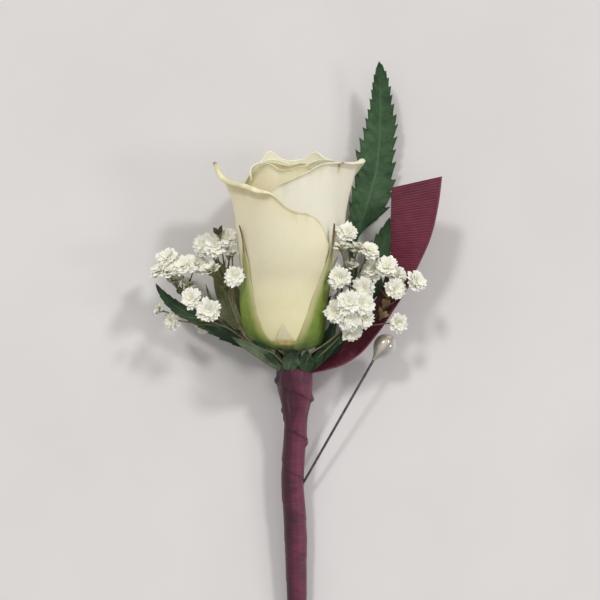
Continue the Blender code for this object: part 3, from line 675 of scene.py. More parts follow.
def make_petal(place, material, layer, rim, lip, seed, columns, rows, flare=0, curl=90, swell=0,
               foot=3.0, ripple=0.16, bruise=()):
    """One petal: a sector of the bud's surface whose rim rolls outwards.

    rim is (turn, height), flare is (turn, how far the rim leans out), lip is (turn, radius of the
    roll), curl is (turn, degrees of roll) and swell is (turn, how far the body stands out); one
    number is the same all along. bruise is (turn, width) of brown spots on the rim. layer counts
    from the outside of the bud.
    """
    start, end = rim[0][0], rim[-1][0]
    middle = (start + end) / 2
    across = np.linspace(0, 1, columns)
    full = start + (end - start) * across
    roll = table(lip, full)
    climb = np.concatenate([np.linspace(0, 1, rows) ** 1.1, np.ones(ROLL_STEPS)])[:, None]
    turnover = np.concatenate([np.zeros(rows), np.linspace(0, 1, ROLL_STEPS + 1)[1:]])[:, None]
    body_top = table(rim, full) - roll
    height = foot + (body_top - foot) * climb
    turn = middle + (full - middle) * (0.72 + 0.28 * np.minimum(climb / 0.35, 1.0))
    share = np.clip((height - FLARE_START) / np.maximum(body_top - FLARE_START, 3.0), 0, 1)
    radius = table(BUD_PROFILE, height) - layer * PETAL_PITCH - PETAL_GAP
    radius = radius + table(flare, full) * share ** 2
    radius = radius + table(swell, full) * rise(height, SWELL_START, SWELL_WIDTH)
    side = np.minimum(across, 1 - across)
    waves = wobble(seed, turn / 26, height / 9) * rise(height, 0, 14)
    radius = radius + ripple * rise(side, 0, 0.12) * waves
    angle = turnover * np.radians(table(curl, full))
    radius = radius + roll * (1 - np.cos(angle))
    height = height + roll * np.sin(angle) + 0.10 * wobble(seed + 5, full / 7, full / 13) * climb ** 6
    thickness = PETAL_THICKNESS * (0.45 + 0.55 * rise(side, 0, 0.05)) * np.ones_like(height)
    thickness = thickness * np.where(turnover > 0, 1 - 0.55 * turnover, 1 - 0.25 * climb ** 4)
    near_rim = rise(climb, 0.86, 0.14) * 0.42 + turnover * 0.25
    mask = near_rim * (0.55 + 0.45 * wobble(seed + 9, full / 15, full / 6))
    for spot, width in bruise:
        mask = mask + 1.1 * bell(full, spot, width) * rise(climb, 0.95, 0.05)
    uv = np.stack(np.broadcast_arrays(across, np.clip(height / PETAL_LENGTH, 0, 1)), -1)
    shape = Shape()
    outward_slab(shape, bud_place(turn, radius, height), thickness, np.clip(mask, 0, 1), uv)
    shape.build("rose_petal_" + place, [material], "petal_" + place)


make_petal("outer_left", CREAM, 0.0,
           rim=[(-118, 41.5), (-104, 45.0), (-93, 48.6), (-85, 50.2), (-77, 47.4), (-66, 45.7),
                (-54, 45.2), (-42, 44.7), (-30, 43.7), (-20, 43.0), (-15, 41.9), (-7, 39.9), (4, 38.4),
                (16, 37.9), (26, 36.7), (33.5, 34.6), (40, 31.4), (47.5, 27.9), (53, 24.4), (59, 19.5),
                (64, 13.0)],
           flare=[(-118, 0.4), (-104, 2.0), (-93, 3.7), (-85, 4.2), (-77, 3.0), (-66, 1.4), (-50, 0.5),
                  (-30, 0.2), (-12, 0.0), (64, 0.0)],
           lip=[(-118, 0.5), (-95, 0.6), (-85, 0.45), (-72, 0.85), (-50, 1.0), (-28, 0.95), (-17, 0.6),
                (-8, 0.3), (64, 0.25)],
           curl=[(-118, 110), (-90, 150), (-60, 170), (-25, 165), (-12, 90), (0, 60), (64, 45)],
           bruise=[(-86, 4.0)], seed=11, columns=110, rows=52, ripple=0.2)
make_petal("outer_right", WHITE, 1.1,
           rim=[(-52, 36.0), (-36, 40.4), (-20, 43.6), (-6, 45.4), (9, 47.1), (18, 48.2), (27, 49.5),
                (36, 50.2), (43, 50.3), (55, 50.4), (68, 50.2), (80, 50.6), (88, 51.0), (96, 49.6),
                (106, 46.6), (118, 42.0)],
           flare=[(-52, 0.0), (40, 0.0), (60, 0.5), (72, 1.4), (82, 2.2), (90, 2.4), (98, 2.0),
                  (118, 0.8)],
           lip=[(-52, 0.2), (-20, 0.25), (10, 0.40), (45, 0.6), (72, 0.95), (90, 0.9), (118, 0.4)],
           curl=[(-52, 60), (-15, 100), (20, 125), (60, 140), (90, 160), (118, 120)],
           bruise=[(57, 1.6)], swell=[(-52, 0.0), (64, 0.0), (80, 0.8), (118, 0.8)], seed=23,
           columns=96, rows=48, ripple=0.2)
make_petal("outer_back", PALE, 2.07,
           rim=[(92, 42.0), (108, 47.0), (126, 50.0), (142, 51.2), (151, 52.6), (157, 52.3),
                (166, 50.8), (180, 50.2), (193, 50.8), (201, 52.4), (207, 52.6), (214, 50.6),
                (228, 47.8), (246, 45.0), (262, 41.5)], flare=[(92, 0.3), (180, 0.5), (262, 0.3)],
           lip=0.25, curl=[(92, 90), (150, 120), (206, 130), (262, 90)], seed=31, columns=80, rows=36)
make_petal("second_left", INNER, 3.0,
           rim=[(-128, 40.0), (-105, 41.8), (-80, 43.2), (-68, 43.6), (-57, 44.8), (-46, 47.3),
                (-36, 49.0), (-28, 50.1), (-21, 49.8), (-12, 48.5), (-1, 48.7), (10, 49.4), (20, 49.6),
                (30, 47.5)], lip=[(-128, 0.2), (-50, 0.2), (-25, 0.3), (30, 0.2)],
           curl=[(-128, 60), (-30, 120), (30, 90)], seed=41, columns=72, rows=36)
make_petal("second_right", PALE, 4.0,
           rim=[(8, 46.0), (16, 48.8), (26, 50.4), (36, 51.0), (50, 50.9), (66, 50.6), (90, 49.5),
                (120, 49.4), (145, 47.5), (166, 43.0)], lip=0.2, curl=[(8, 80), (60, 100), (166, 80)],
           seed=43, columns=64, rows=32)
make_petal("second_back", PALE, 5.0,
           rim=[(140, 42.0), (160, 47.0), (180, 49.2), (205, 50.6), (225, 50.2), (250, 49.0),
                (275, 47.0), (298, 43.0)], lip=0.2, seed=47, columns=56, rows=30)
make_petal("third_left", INNER, 6.0, foot=3.8,
           rim=[(-98, 42.0), (-75, 47.0), (-50, 49.8), (-28, 50.4), (-5, 49.6), (20, 50.2), (40, 48.0),
                (56, 43.0)], lip=0.2, curl=80, seed=53, columns=56, rows=30)
make_petal("third_right", INNER, 7.0, foot=6.4,
           rim=[(36, 42.0), (60, 48.6), (90, 50.0), (115, 49.8), (140, 49.0), (165, 47.4), (190, 43.0)],
           lip=0.2, seed=59, columns=52, rows=30)
make_petal("third_back", PALE, 8.0, foot=9.0,
           rim=[(168, 43.0), (190, 47.4), (215, 49.6), (240, 50.0), (270, 49.0), (300, 47.2),
                (322, 43.0)], lip=0.2, seed=61, columns=48, rows=28)
make_petal("inner_left", INNER, 9.0, foot=11.6,
           rim=[(-60, 43.0), (-35, 47.6), (-5, 49.8), (30, 49.4), (65, 47.6), (100, 43.0)], lip=0.25,
           seed=67, columns=44, rows=28, ripple=0.1)
make_petal("inner_right", INNER, 10.0, foot=14.2,
           rim=[(110, 43.0), (140, 46.4), (175, 48.6), (210, 48.4), (240, 46.4), (270, 43.0)], lip=0.25,
           seed=71, columns=44, rows=28, ripple=0.1)


# The heart is (height, share of the room inside the last petal).
HEART_SHARE = [(17, 0.55), (22, 0.95), (30, 0.97), (40, 0.95), (45.5, 0.85), (47.5, 0.5), (48.4, 0.12)]
HEART_LAYER, HEART_WINDINGS = 10, 3


def make_heart():
    """The tightly wound middle of the bud, a spiral of petal rims."""
    rows, sides = 60, 96
    height = np.linspace(HEART_SHARE[0][0], HEART_SHARE[-1][0], rows)[:, None]
    turn = np.linspace(0, 360, sides, endpoint=False)[None, :]
    room = table(BUD_PROFILE, height) - HEART_LAYER * PETAL_PITCH - 0.75
    spiral = (turn / 360 * HEART_WINDINGS + height / 60) % 1.0
    radius = room * straight(HEART_SHARE, height) * (0.9 + 0.1 * spiral)
    grid = bud_place(turn, radius, height + 0.5 * spiral * rise(height, 42, 5))
    uv = np.stack(np.broadcast_arrays(turn / 360, height / PETAL_LENGTH), -1)
    shape = Shape()
    shape.add(grid, ring_faces(rows, sides), uv, mask=0.3 * (spiral > 0.85))
    shape.build("rose_heart", [INNER], "petal_heart")


make_heart()

# Sepals: line is (height, turn of the middle, width), lift is (height, how far it stands away)
# above the foot, which SEPAL_FOOT draws in, and blush is how tan its inner margin is.
SEPAL_FOOT = [(0.7, -2.6), (1.1, -1.2), (1.7, -0.3), (2.4, 0.0)]
SEPAL_STAND = 0.52        # from the bud to the middle of a sepal's thickness
SEPALS = {
    "sepal_left": dict(
        line=[(0.7, -60, 9.6), (1.6, -60, 11.0), (3.0, -60, 12.8), (5.5, -63.5, 13.2),
              (9.0, -65.5, 12.0), (14, -66, 9.8), (17, -63.5, 7.8), (20, -61, 5.2), (23, -56, 3.2),
              (25.0, -55, 2.6), (27, -54.5, 1.5), (29.5, -54, 0.7), (32.0, -54.5, 0.5),
              (34.2, -57, 0.32)], lift=[(24, 0.0), (30, 0.15), (34.2, 0.5)], blush=0.35),
    "sepal_right": dict(
        line=[(0.7, 53, 10.8), (1.6, 53, 12.2), (3.0, 53, 13.6), (5.5, 57, 13.4), (9.0, 61, 12.0),
              (14, 65.5, 10.6), (17, 66, 9.2), (19.5, 63.5, 7.4), (22, 58, 4.6), (24.6, 51.5, 2.3),
              (27, 48.5, 1.4), (30, 47, 1.0), (32.5, 46.5, 0.75), (34.9, 46, 0.35)],
        lift=[(24, 0.0), (30, 0.1), (34.9, 0.3)], blush=1.0),
    "sepal_back_left": dict(
        line=[(0.7, -127, 8.0), (2.0, -127, 9.6), (5.5, -127, 11.0), (12, -127, 10.2), (18, -127, 7.0),
              (22, -127, 3.0), (26.4, -127, 0.6)], lift=[(26.4, 0.3)], blush=0.2),
    "sepal_back_right": dict(
        line=[(0.7, 126, 8.0), (2.0, 126, 9.6), (5.5, 126, 11.0), (12, 126, 10.2), (17, 126, 7.0),
              (21, 126, 3.0), (25.4, 126, 0.6)], lift=[(25.4, 0.3)], blush=0.2)}


def make_sepal(name, line, lift, blush, seed):
    """A long pointed sepal with a keel, thin wavy margins and a whisker at its tip."""
    rows, columns = 72, 22
    low, high = line[0][0], line[-1][0]
    height = (np.linspace(0, 1, rows) ** 1.15 * (high - low) + low)[:, None]
    middle, width = np.moveaxis(table(line, height), -1, 0)
    across = np.linspace(-0.5, 0.5, columns)[None, :]
    edge = np.abs(across) * 2
    fade = rise(width, 0, 6.0)
    base = table(BUD_PROFILE, height)
    ruffle = 1 + 0.05 * wobble(seed, height / 2.2, np.sign(across) * 2.0) * edge ** 3
    turn = middle + np.degrees(width * across * ruffle / base)
    margin = 0.62 * edge ** 5 * np.clip(width / 2.2 - 0.35, 0, 1)
    radius = base + SEPAL_STAND + table(SEPAL_FOOT + lift, height) - margin
    radius = radius + 0.22 * fade * bell(across, 0, 0.07)
    radius = radius + fade * (0.10 * edge ** 4 * (0.6 + 0.6 * wobble(seed + 3, height / 2.6,
                                                                     across * 3)))
    radius = radius + 0.10 * fade * wobble(seed + 7, height / 3.5, across * 9)
    grid = bud_place(turn, radius, height + 0.25 * fade * wobble(seed + 2, across * 5, height / 6))
    thickness = np.minimum(0.46 - 0.34 * edge ** 2, np.maximum(width * 0.8, 0.25))
    inward = -1.0 if middle[0, 0] > 0 else 1.0
    mask = rise(across * inward * 2, 0.60, 0.3) * blush * bell(height, 11.5, 7.0)
    uv = np.stack(np.broadcast_arrays(across + 0.5, (height - low) / (high - low)), -1)
    shape = Shape()
    outward_slab(shape, grid, thickness, mask, uv)
    shape.build("rose_" + name, [SEPAL], name)


for order, (name, form) in enumerate(SEPALS.items()):
    make_sepal(name, seed=101 + 13 * order, **form)


# ---------------------------------------------------------------- calyx cup, hip and rose stem

# The bundle of stems, from the cut end up: its axis is (y, x, z), the wrap (y, radius).
BUNDLE_AXIS = [(-94.0, -0.8, 2.85), (-83.0, -0.9, 3.2), (-72.0, -1.1, 3.7), (-61.0, -1.4, 4.3),
               (-49.0, -2.1, 5.0), (-41.0, -1.6, 5.6), (-30.0, -1.1, 6.7), (-24.5, -1.4, 7.4),
               (-19.0, -1.3, 8.5), (-14.0, -2.1, 9.5)]
WRAP_RADIUS = [(-94.0, 2.75), (-83.0, 2.8), (-72.0, 3.05), (-61.0, 3.2), (-37.0, 3.2),
               (-32.0, 3.4), (-28.5, 4.1), (-24.5, 4.7), (-18.5, 5.0)]
STEM_END, STEM_TOP = -94.0, -20.0
STEM_RADIUS = 2.45
RIGHT, UP = (1, 0, 0), (0, 0, 1)

# On the bud's axis, (height, radius) of the outside of hip and cup, and of the inside of the cup.
HIP_AND_CUP = [(-7.0, 3.1), (-6.0, 3.25), (-5.0, 3.2), (-3.6, 2.9), (-2.2, 2.6), (-1.0, 2.7),
               (0.2, 3.7), (0.7, 4.9), (1.15, 6.4), (1.5, 7.4), (2.0, 8.5), (2.6, 9.2), (3.1, 9.6),
               (4.1, 10.15)]
CUP_INSIDE = [(1.4, 5.2), (2.0, 8.1), (3.1, 9.40), (4.1, 9.98)]
HIP_FOOT, HIP_TOP, CUP_FLOOR, CUP_RIM = -7.0, 0.55, 1.4, 4.1


def bundle_centre(y):
    """Points of the bundle's axis at an array of Y."""
    y = np.asarray(y, float)
    sides = table(BUNDLE_AXIS, y)
    return np.stack([sides[..., 0], y, sides[..., 1]], -1)


def add_bare_stem(shape):
    """The stem inside the wrap, and its cut face: a rind, pale wood and a pith."""
    sides = 64
    y = np.concatenate([np.linspace(STEM_END, -93.7, 4), np.linspace(-93.4, STEM_TOP, 90)])
    radius = np.minimum(STEM_RADIUS, table(WRAP_RADIUS, y) - 0.75)
    radius[:4] = radius[4] - np.array([0.22, 0.08, 0.02, 0.0])
    turn = TAU * np.arange(sides) / sides
    uneven = 0.02 * np.sin(5 * turn + y[:, None] / 11) + 0.012 * wobble(5, y[:, None] / 3, turn)
    lumps = radius[:, None] * (1 + uneven)
    turned(shape, bundle_centre(y), RIGHT, UP, lumps, sides, caps=False)
    shares = np.array([1.0, 0.93, 0.84, 0.6, 0.36, 0.3, 0.0001])
    sunk = np.array([0.0, 0.02, 0.10, 0.12, 0.14, 0.24, 0.27])
    centres = bundle_centre(np.full(len(shares), STEM_END)) + sunk[:, None] * (0, 1, 0)
    turned(shape, centres, RIGHT, UP, shares[:, None] * lumps[0], sides, 1,
           [0.0, 0.1, 0.4, 0.7, 0.9, 1.0, 1.0], caps=False)


def add_hip_and_cup(shape):
    """The hip and the outside of the cup, then back down inside it, with a scar along the front."""
    angle = np.linspace(-180, 180, 128, endpoint=False)
    ragged = -0.15 * bell(angle, 2, 14) + 0.22 * wobble(8, angle / 9) + 0.14 * wobble(9, angle / 3)
    height = np.concatenate([np.linspace(HIP_FOOT, 0.0, 22), np.linspace(0.1, CUP_RIM, 30)])[:, None]
    inner_height = np.linspace(CUP_RIM, CUP_FLOOR, 10)[:, None]
    lobes = 0.10 * np.cos(np.radians(5 * angle)) * bell(height, -2.5, 2.2)
    radius = table(HIP_AND_CUP, height) + lobes + 0.05 * wobble(12, height, angle / 14)
    inner_radius = straight(CUP_INSIDE, inner_height)
    outside, inside = [bud_place(angle, size, level + rise(level, 2.4, 1.6) * ragged)
                       for size, level in ((radius, height), (inner_radius, inner_height))]
    grid = np.concatenate([outside, inside])
    level = np.concatenate([height, inner_height])
    scar = bell(angle, -2, 17) * rise(height, 2.5, 0.8)
    scar = scar * (0.75 + 0.5 * wobble(15, angle / 4, angle / 2.2))
    scar = np.concatenate([scar, np.repeat(scar[-1:], len(inside), axis=0)])
    faces = ring_faces(len(grid), len(angle))
    slots = [2 if level[face[0] // len(angle)] < HIP_TOP else 3 for face in faces]
    uv = np.stack(np.broadcast_arrays((angle + 180) / 360, level / 12 + 0.6), -1)
    shape.add(grid, faces, uv, slots, np.clip(scar, 0, 1))


def add_scrap(shape):
    """A dry scrap of the petal that was pulled off, standing on the rim in front."""
    climb = np.linspace(0, 1, 16)[:, None]
    across = np.linspace(-1, 1, 11)[None, :]
    width = 2.7 * (1 - climb) ** 0.9 + 0.08
    height = 3.9 + 5.0 * climb + 0.1 * wobble(21, across * 3, climb * 4)
    radius = table(BUD_PROFILE, height) + 0.09 + 0.06 * climb + 0.05 * across ** 2 * (1 - climb)
    scrap = bud_place(0.5 + np.degrees(width * across / 10.6), radius, height)
    rim = np.abs(across) ** 4 * 0.42 + np.clip(1 - climb / 0.22, 0, 1) + (climb > 0.95) * 0.3
    mask = np.clip(rim, 0, 1) * (0.75 + 0.25 * wobble(22, across * 6, climb * 9))
    slab(shape, scrap[:, ::-1], 0.06, 4, mask)


def make_rose_stem():
    """The rose's stem with its cut end, the grey-green hip, and the cup that holds the petals."""
    shape = Shape()
    add_bare_stem(shape)
    add_hip_and_cup(shape)
    add_scrap(shape)
    shape.build("rose_stem_and_hip", [STEM, CUT_WOOD, GREY_GREEN, CUP, SCRAP], "rose_stem")


make_rose_stem()


# ---------------------------------------------------------------- ribbon

RIB_PITCH = 0.72
WRAP_FOOT, WRAP_MOUTH = -91.0, -18.4
WRAP_CHART = 73.0         # length along the stems that the chart covers
TURN_PITCH = 11.0         # from one turn of the ribbon to the next, along the stems
INNER_ROWS = 60
WRAP_LOWEST = 0.12        # Z that the wound ribbon stays above
# How thick the edge of one turn stands on the turn below it: (y, thickness).
OVERLAP = [(-91, 0.10), (-60, 0.14), (-48, 0.22), (-38, 0.42), (-18, 0.42)]
# Lifted corners and soft dents: y, degrees round, height, then half their length and half their
# width in degrees.
CORNERS = [(-22.2, 180, 0.85, 0.9, 24), (-30.3, 186, 0.45, 0.8, 22), (-27.2, 2, 0.55, 0.9, 24),
           (-39.2, 6, 0.75, 1.0, 22), (-23.0, 128, 0.42, 3.2, 10), (-27.0, 112, 0.36, 3.0, 9),
           (-21.6, 84, 0.34, 1.6, 18), (-24.6, 62, 0.30, 2.0, 14), (-33.0, 60, 0.12, 3.0, 20),
           (-66.0, 10, 0.18, 2.5, 30)]


def make_stem_wrap():
    """Ribbon wound steeply on the stems: ribs, overlapping edges and lifted corners."""
    sides, per_rib = 72, 5
    rows = int((WRAP_MOUTH - WRAP_FOOT) / RIB_PITCH * per_rib)
    y = np.linspace(WRAP_FOOT, WRAP_MOUTH, rows)[:, None]
    turn = np.linspace(0, 360, sides, endpoint=False)[None, :]
    # Overlaps: each turn's edge lies on the one below and steps down to it.
    step = straight(OVERLAP, y)
    phase = (y + 27.4 - 5.3 * turn / 180 - 0.5 * wobble(31, turn / 40, y / 20)) / TURN_PITCH
    past = (phase - np.floor(phase)) * TURN_PITCH
    radius = table(WRAP_RADIUS, y) - 0.12
    radius = radius + step * (np.exp(-past / 4.5) * rise(past, 0, 0.30) - 0.25)
    # Painted shade: a dark line at the foot of each step, under the edge of the turn above.
    dark = bell(TURN_PITCH - past, 0, 0.45) * np.clip(step / 0.4, 0.25, 1)
    for at, side, height, long, wide in CORNERS:
        off = (turn - side + 180) % 360 - 180
        radius = radius + height * np.exp(-((y - at) / long) ** 2 - (off / wide) ** 2)
    # The gathers of its upper end, soft unevenness and the ribs.
    gathers = rise(y, -34, 10) * np.sin(np.radians(turn * 7) + y / 2.6)
    radius = radius + 0.26 * gathers * (0.6 + 0.4 * wobble(33, y / 4, turn / 30))
    radius = radius + 0.06 * wobble(35, y / 6, turn / 50)
    ribs = np.cos(TAU * (y + 0.55 * np.sin(np.radians(turn - 60))) / RIB_PITCH)
    radius = radius + 0.034 * ribs
    # The lengthwise edge that runs along the upper side, then painted shade over the left side beyond it,
    # fading out below, and a strip of painted shade along the right edge.
    border = turn - 101 - 7 * wobble(37, y / 9, 0.0)
    edge = border + 32 * bell(y, -28, 5.5)
    painted_side_shade = 0.47 * rise(edge, 0, 9) + 0.38 * rise(edge, -36, 38)
    painted_side_shade = painted_side_shade * rise(220 - turn, 0, 20) + 0.22 * rise(38 - turn, 0, 22)
    radius = radius + 0.16 * bell(border, 0, 9) - 0.14 * bell(border, 20, 12)
    ring = np.stack([np.cos(np.radians(turn)), 0 * turn, np.sin(np.radians(turn))], -1)
    outer = bundle_centre(y) + radius[..., None] * ring
    outer[..., 2] = np.maximum(outer[..., 2], WRAP_LOWEST)
    back = y[np.linspace(rows - 1, 0, INNER_ROWS).astype(int)]
    inner = bundle_centre(back) + (table(WRAP_RADIUS, back) - 0.5)[..., None] * ring
    grid = np.concatenate([outer, inner])
    last = (len(grid) - 1) * sides
    faces = ring_faces(len(grid), sides, caps=False)
    faces += [(last + s, last + (s + 1) % sides, (s + 1) % sides, s) for s in range(sides)]
    v = (np.concatenate([y, back]) - WRAP_FOOT) / WRAP_CHART
    uv = np.stack(np.broadcast_arrays(turn / 360, v), -1)
    # Mask of painted shade: at the foot of each overlap step, over the left side and right edge, and in
    # the rib valleys; the inside of the wrap is shaded in full.
    wrap_shade_mask = np.clip(dark + painted_side_shade + 0.07 * (ribs < -0.5), 0, 1)
    shape = Shape()
    shape.add(grid, faces, uv, mask=np.concatenate([wrap_shade_mask, np.ones((INNER_ROWS, sides))]))
    piece = shape.build("ribbon_on_stems", [RIBBON_WOUND], "stem_wrap")


# The two edges of the tail, from its slanted cut end to the wrap's mouth.
RIBBON_OUTER = [(37.4, 32.6, 17.5), (36.5, 25.0, 16.8), (34.6, 16.5, 15.6), (31.6, 9.2, 14.2),
                (27.9, 1.9, 13.2), (24.0, -4.2, 12.4), (20.2, -9.6, 11.8), (16.4, -14.2, 11.4),
                (11.8, -17.3, 11.4), (7.0, -18.9, 11.2), (2.4, -19.9, 10.6)]
RIBBON_INNER = [(24.9, 30.5, 9.4), (24.8, 22.0, 8.6), (24.9, 13.6, 7.6), (23.6, 7.0, 6.0),
                (21.4, 0.8, 4.0), (18.2, -3.4, 2.2), (14.2, -7.2, 1.7), (9.9, -10.9, 2.2),
                (6.2, -13.6, 4.0), (3.8, -16.0, 6.0), (1.4, -17.8, 7.0)]
TAIL_RIBS = 90


def make_ribbon_tail():
    """The ribbon's free end, with ribs, woven edges, a clean cut and soft lengthwise buckles."""
    per_rib, columns = 5, 40
    rows = TAIL_RIBS * per_rib
    outer, inner = path(RIBBON_OUTER, rows), path(RIBBON_INNER, rows)
    along = np.linspace(0, 1, rows)[:, None]
    across = np.linspace(0, 1, columns)[None, :]
    grid = inner[:, None, :] + (outer - inner)[:, None, :] * across[..., None]
    side = unit(outer - inner)[:, None, :]
    normal = unit(np.cross(side, unit(np.gradient(grid, axis=0))))
    normal = normal * np.where(normal[..., 2:] < 0, -1.0, 1.0)
    rib_wave = np.cos(TAU * TAIL_RIBS * along)
    weave = rib_wave * (1 - 0.85 * along)
    gather = rise(along, 0.3, 1) * np.minimum((1.0 - along) / 0.25, 1.0)
    buckle = rise(along, 0.45, 1) * np.sin(across * 3 * math.pi + along * 4) * rise(1 - along, 0, 0.08)
    lift = 2.2 * gather * np.sin(math.pi * across) + 0.55 * buckle
    lift = lift + 0.16 * wobble(41, along * 9, across * 2.5) + 0.032 * weave
    grid = grid + normal * lift[..., None]
    selvage = np.minimum(across, 1 - across)
    scallop = 0.07 * rib_wave * np.where(across > 0.5, 1, -1) * (selvage < 0.02)
    grid = grid + side * scallop[..., None]
    thickness = 0.36 + 0.05 * weave + 0.08 * (selvage < 0.045)
    # Mask: painted shade in the rib valleys and over the part nearer the wrap, a darker line inside each
    # woven edge and a darker cut end.
    mask = 0.07 * (weave < -0.3) + 0.22 * ((selvage > 0.03) & (selvage < 0.055))
    mask = mask + 0.55 * np.clip(1 - along * 220, 0,
                                 1) + 0.62 * rise(along, 0.42, 0.3) * (selvage > 0.03)
    shape = Shape()
    slab(shape, grid, thickness, 0, np.clip(mask, 0, 1))
    piece = shape.build("ribbon_tail_grosgrain", [RIBBON], "ribbon_tail")


make_stem_wrap()
make_ribbon_tail()


# ---------------------------------------------------------------- leaves

def make_blade(shape, stations, rows, seed, quilt, teeth=(), depth=0.0, cup=0.25, veins=26, columns=19,
               thick=0.30, slot=0, mask=0.0):
    """A leaf blade about a midrib.

    stations are (x, y, z, width) or (x, y, z, left width, right width) along it. teeth is (share
    of the length, tooth length) and depth how deep the teeth of the saw edge are cut. cup is how
    far the edges rise, and quilt how far the blade rises between its veins.
    """
    points = path([(*station, station[-1])[:5] for station in stations], rows)
    spine, left, right = points[:, :3], np.maximum(points[:, 3], 0.02), np.maximum(points[:, 4], 0.02)
    flow = unit(np.gradient(spine, axis=0))
    side = unit(np.cross(flow, np.array([0.0, 0.0, 1.0])))
    up = np.cross(side, flow)
    steps = lengths(spine)
    along = steps / steps[-1]
    count = np.zeros(rows)
    if teeth:
        count[1:] = np.cumsum(np.diff(steps) / table(teeth, along)[1:])
    across = np.linspace(-1, 1, columns)
    grid = np.zeros((rows, columns, 3))
    for column, a in enumerate(across):
        out = abs(a)
        width = left if a < 0 else right
        phase = count + (0.37 if a < 0 else 0.0)
        saw = phase - np.floor(phase)
        saw = np.where(saw > 0.90, (1 - saw) / 0.10, saw / 0.90)
        bite = depth * out ** 6 * (0.75 + 0.25 * wobble(seed + (a > 0), np.floor(phase) * 2.1))
        reach = width * out * (1 - bite * (1 - saw))
        lean = 0.9 * bite * saw * width
        ribs = np.cos(TAU * (veins * along - 1.4 * out))
        height = cup * width * out ** 1.6 - 0.10 * bell(a, 0, 0.10) * np.minimum(width, 1.0)
        height = height + quilt * ribs * out * (1 - 0.4 * out) * np.minimum(width / 3, 1)
        height = height + 0.25 * wobble(seed + 7, along * 5, a * 1.5) * np.minimum(width / 3, 1)
        grid[:, column] = (spine + side * (np.sign(a) * reach)[:, None] + up * height[:, None]
                           + flow * lean[:, None])
    body = thick * (0.35 + 0.65 * (1 - np.abs(across)) ** 0.5) + 0.35 * bell(across, 0, 0.08)
    slab(shape, grid, body, slot, mask)


# Thin stems stand in slots round the inside of the wrap, THIN_INSET below its surface at HELD_AT,
# and fan out past its mouth, where FAN is (y, radius). Slots are in degrees round the bundle.
FIRST_SLOT, SLOT_STEP = 121.5, 27.0
HELD_AT = (-28.8, -24.5, -18.15)
THIN_INSET = 0.98
THIN_LOWEST = 1.0
FAN = [(-16.4, 6.4), (-14.0, 9.7)]


def fan_path(slot):
    """A thin stem's points from inside the wrap, out of its mouth and clear of the calyx."""
    angle = math.radians(FIRST_SLOT + SLOT_STEP * slot)
    outward = np.array([math.cos(angle), 0.0, math.sin(angle)])
    held = [(y, table(WRAP_RADIUS, y) - THIN_INSET) for y in HELD_AT]
    points = [bundle_centre(y) + outward * radius for y, radius in held + FAN]
    return [(x, y, max(z, THIN_LOWEST)) for x, y, z in points]


def make_fern_main():
    """The tall fern blade behind the bud."""
    shape = Shape()
    stalk = fan_path(7) + [(7.0, -10.8, 2.4), (10.0, -2.0, 2.0), (12.6, 6.0, 1.8), (14.2, 12.0, 1.9)]
    tube(shape, path(stalk, 60), np.linspace(0.30, 0.36, 60), 8, 1)
    make_blade(shape,
               [(14.0, 11.0, 1.9, 0.4, 0.4), (15.2, 16.0, 2.0, 1.6, 0.7), (15.9, 18.4, 2.1, 2.8, 1.0),
                (16.8, 21.0, 2.2, 3.8, 2.6), (17.6, 23.4, 2.2, 4.6, 4.6), (18.7, 27.0, 2.4, 5.4, 6.5),
                (20.0, 31.6, 2.7, 6.0, 6.2), (21.0, 35.0, 3.0, 6.4, 5.6), (21.6, 39.5, 3.5, 6.6, 4.8),
                (21.9, 43.2, 4.0, 5.7, 4.8), (22.0, 46.0, 4.4, 4.9, 5.0), (22.1, 49.6, 5.0, 4.1, 4.6),
                (22.0, 54.0, 5.9, 3.1, 3.6), (21.9, 58.4, 6.7, 2.3, 2.9), (21.7, 62.0, 7.4, 1.4, 1.9),
                (21.6, 63.9, 7.8, 0.6, 0.9), (21.55, 65.0, 8.0, 0.05, 0.05)], 420,
               teeth=[(0.0, 4.4), (0.45, 3.7), (0.8, 2.6), (1.0, 1.8)], depth=0.34, cup=0.16,
               quilt=0.16, veins=19, columns=25, seed=301)
    shape.build("fern_blade_main", [FERN, STALK], "fern_main")


# The small side leaflets of the right-hand fern: the stalk's way from the fork and its number of
# points, then the blade and its seed.
LEAFLETS = [([(16.6, -2.2, 4.0), (18.4, 0.0, 4.4)], 16,
             [(18.2, -1.2, 4.3, 0.2, 0.2), (19.6, 0.6, 4.8, 1.0, 0.9), (20.9, 2.6, 5.2, 1.35, 1.2),
              (21.9, 4.7, 5.6, 0.9, 0.9), (22.3, 6.3, 5.8, 0.05, 0.05)], 313),
            ([(15.4, -1.6, 3.8), (15.0, 4.0, 4.8)], 20,
             [(15.0, 3.4, 4.7, 0.2), (14.8, 6.0, 5.3, 0.9), (14.7, 8.6, 5.8, 1.15),
              (14.6, 10.6, 6.1, 0.8), (14.5, 12.4, 6.3, 0.05)], 317)]


def make_fern_right():
    """The fern blade behind the ribbon, with its small side leaflets."""
    shape = Shape()
    fork = (14.2, -5.0, 3.4)
    tube(shape, path(fan_path(8) + [(10.4, -10.8, 4.6), fork, (17.2, 2.0, 2.9)], 50), 0.30, 8, 1)
    make_blade(shape,
               [(16.6, 1.0, 2.9, 0.3, 0.3), (18.4, 5.0, 3.0, 1.6, 1.6), (20.2, 8.6, 3.1, 3.2, 3.2),
                (21.8, 12.6, 3.3, 3.7, 3.6), (23.2, 16.6, 3.5, 2.8, 2.8), (24.2, 20.0, 3.8, 1.5, 1.5),
                (24.8, 22.9, 4.0, 0.05, 0.05)], 200, teeth=[(0.0, 3.0), (1.0, 2.2)], depth=0.34,
               cup=0.2, quilt=0.14, veins=11, seed=311)
    for stalk, count, stations, seed in LEAFLETS:
        tube(shape, path([fork] + stalk, count), 0.2, 6, 1)
        make_blade(shape, stations, 90, teeth=[(0.0, 1.5), (1.0, 1.2)], depth=0.22, quilt=0.06, veins=6,
                   columns=13, seed=seed)
    shape.build("fern_blade_right", [FERN, STALK], "fern_right")


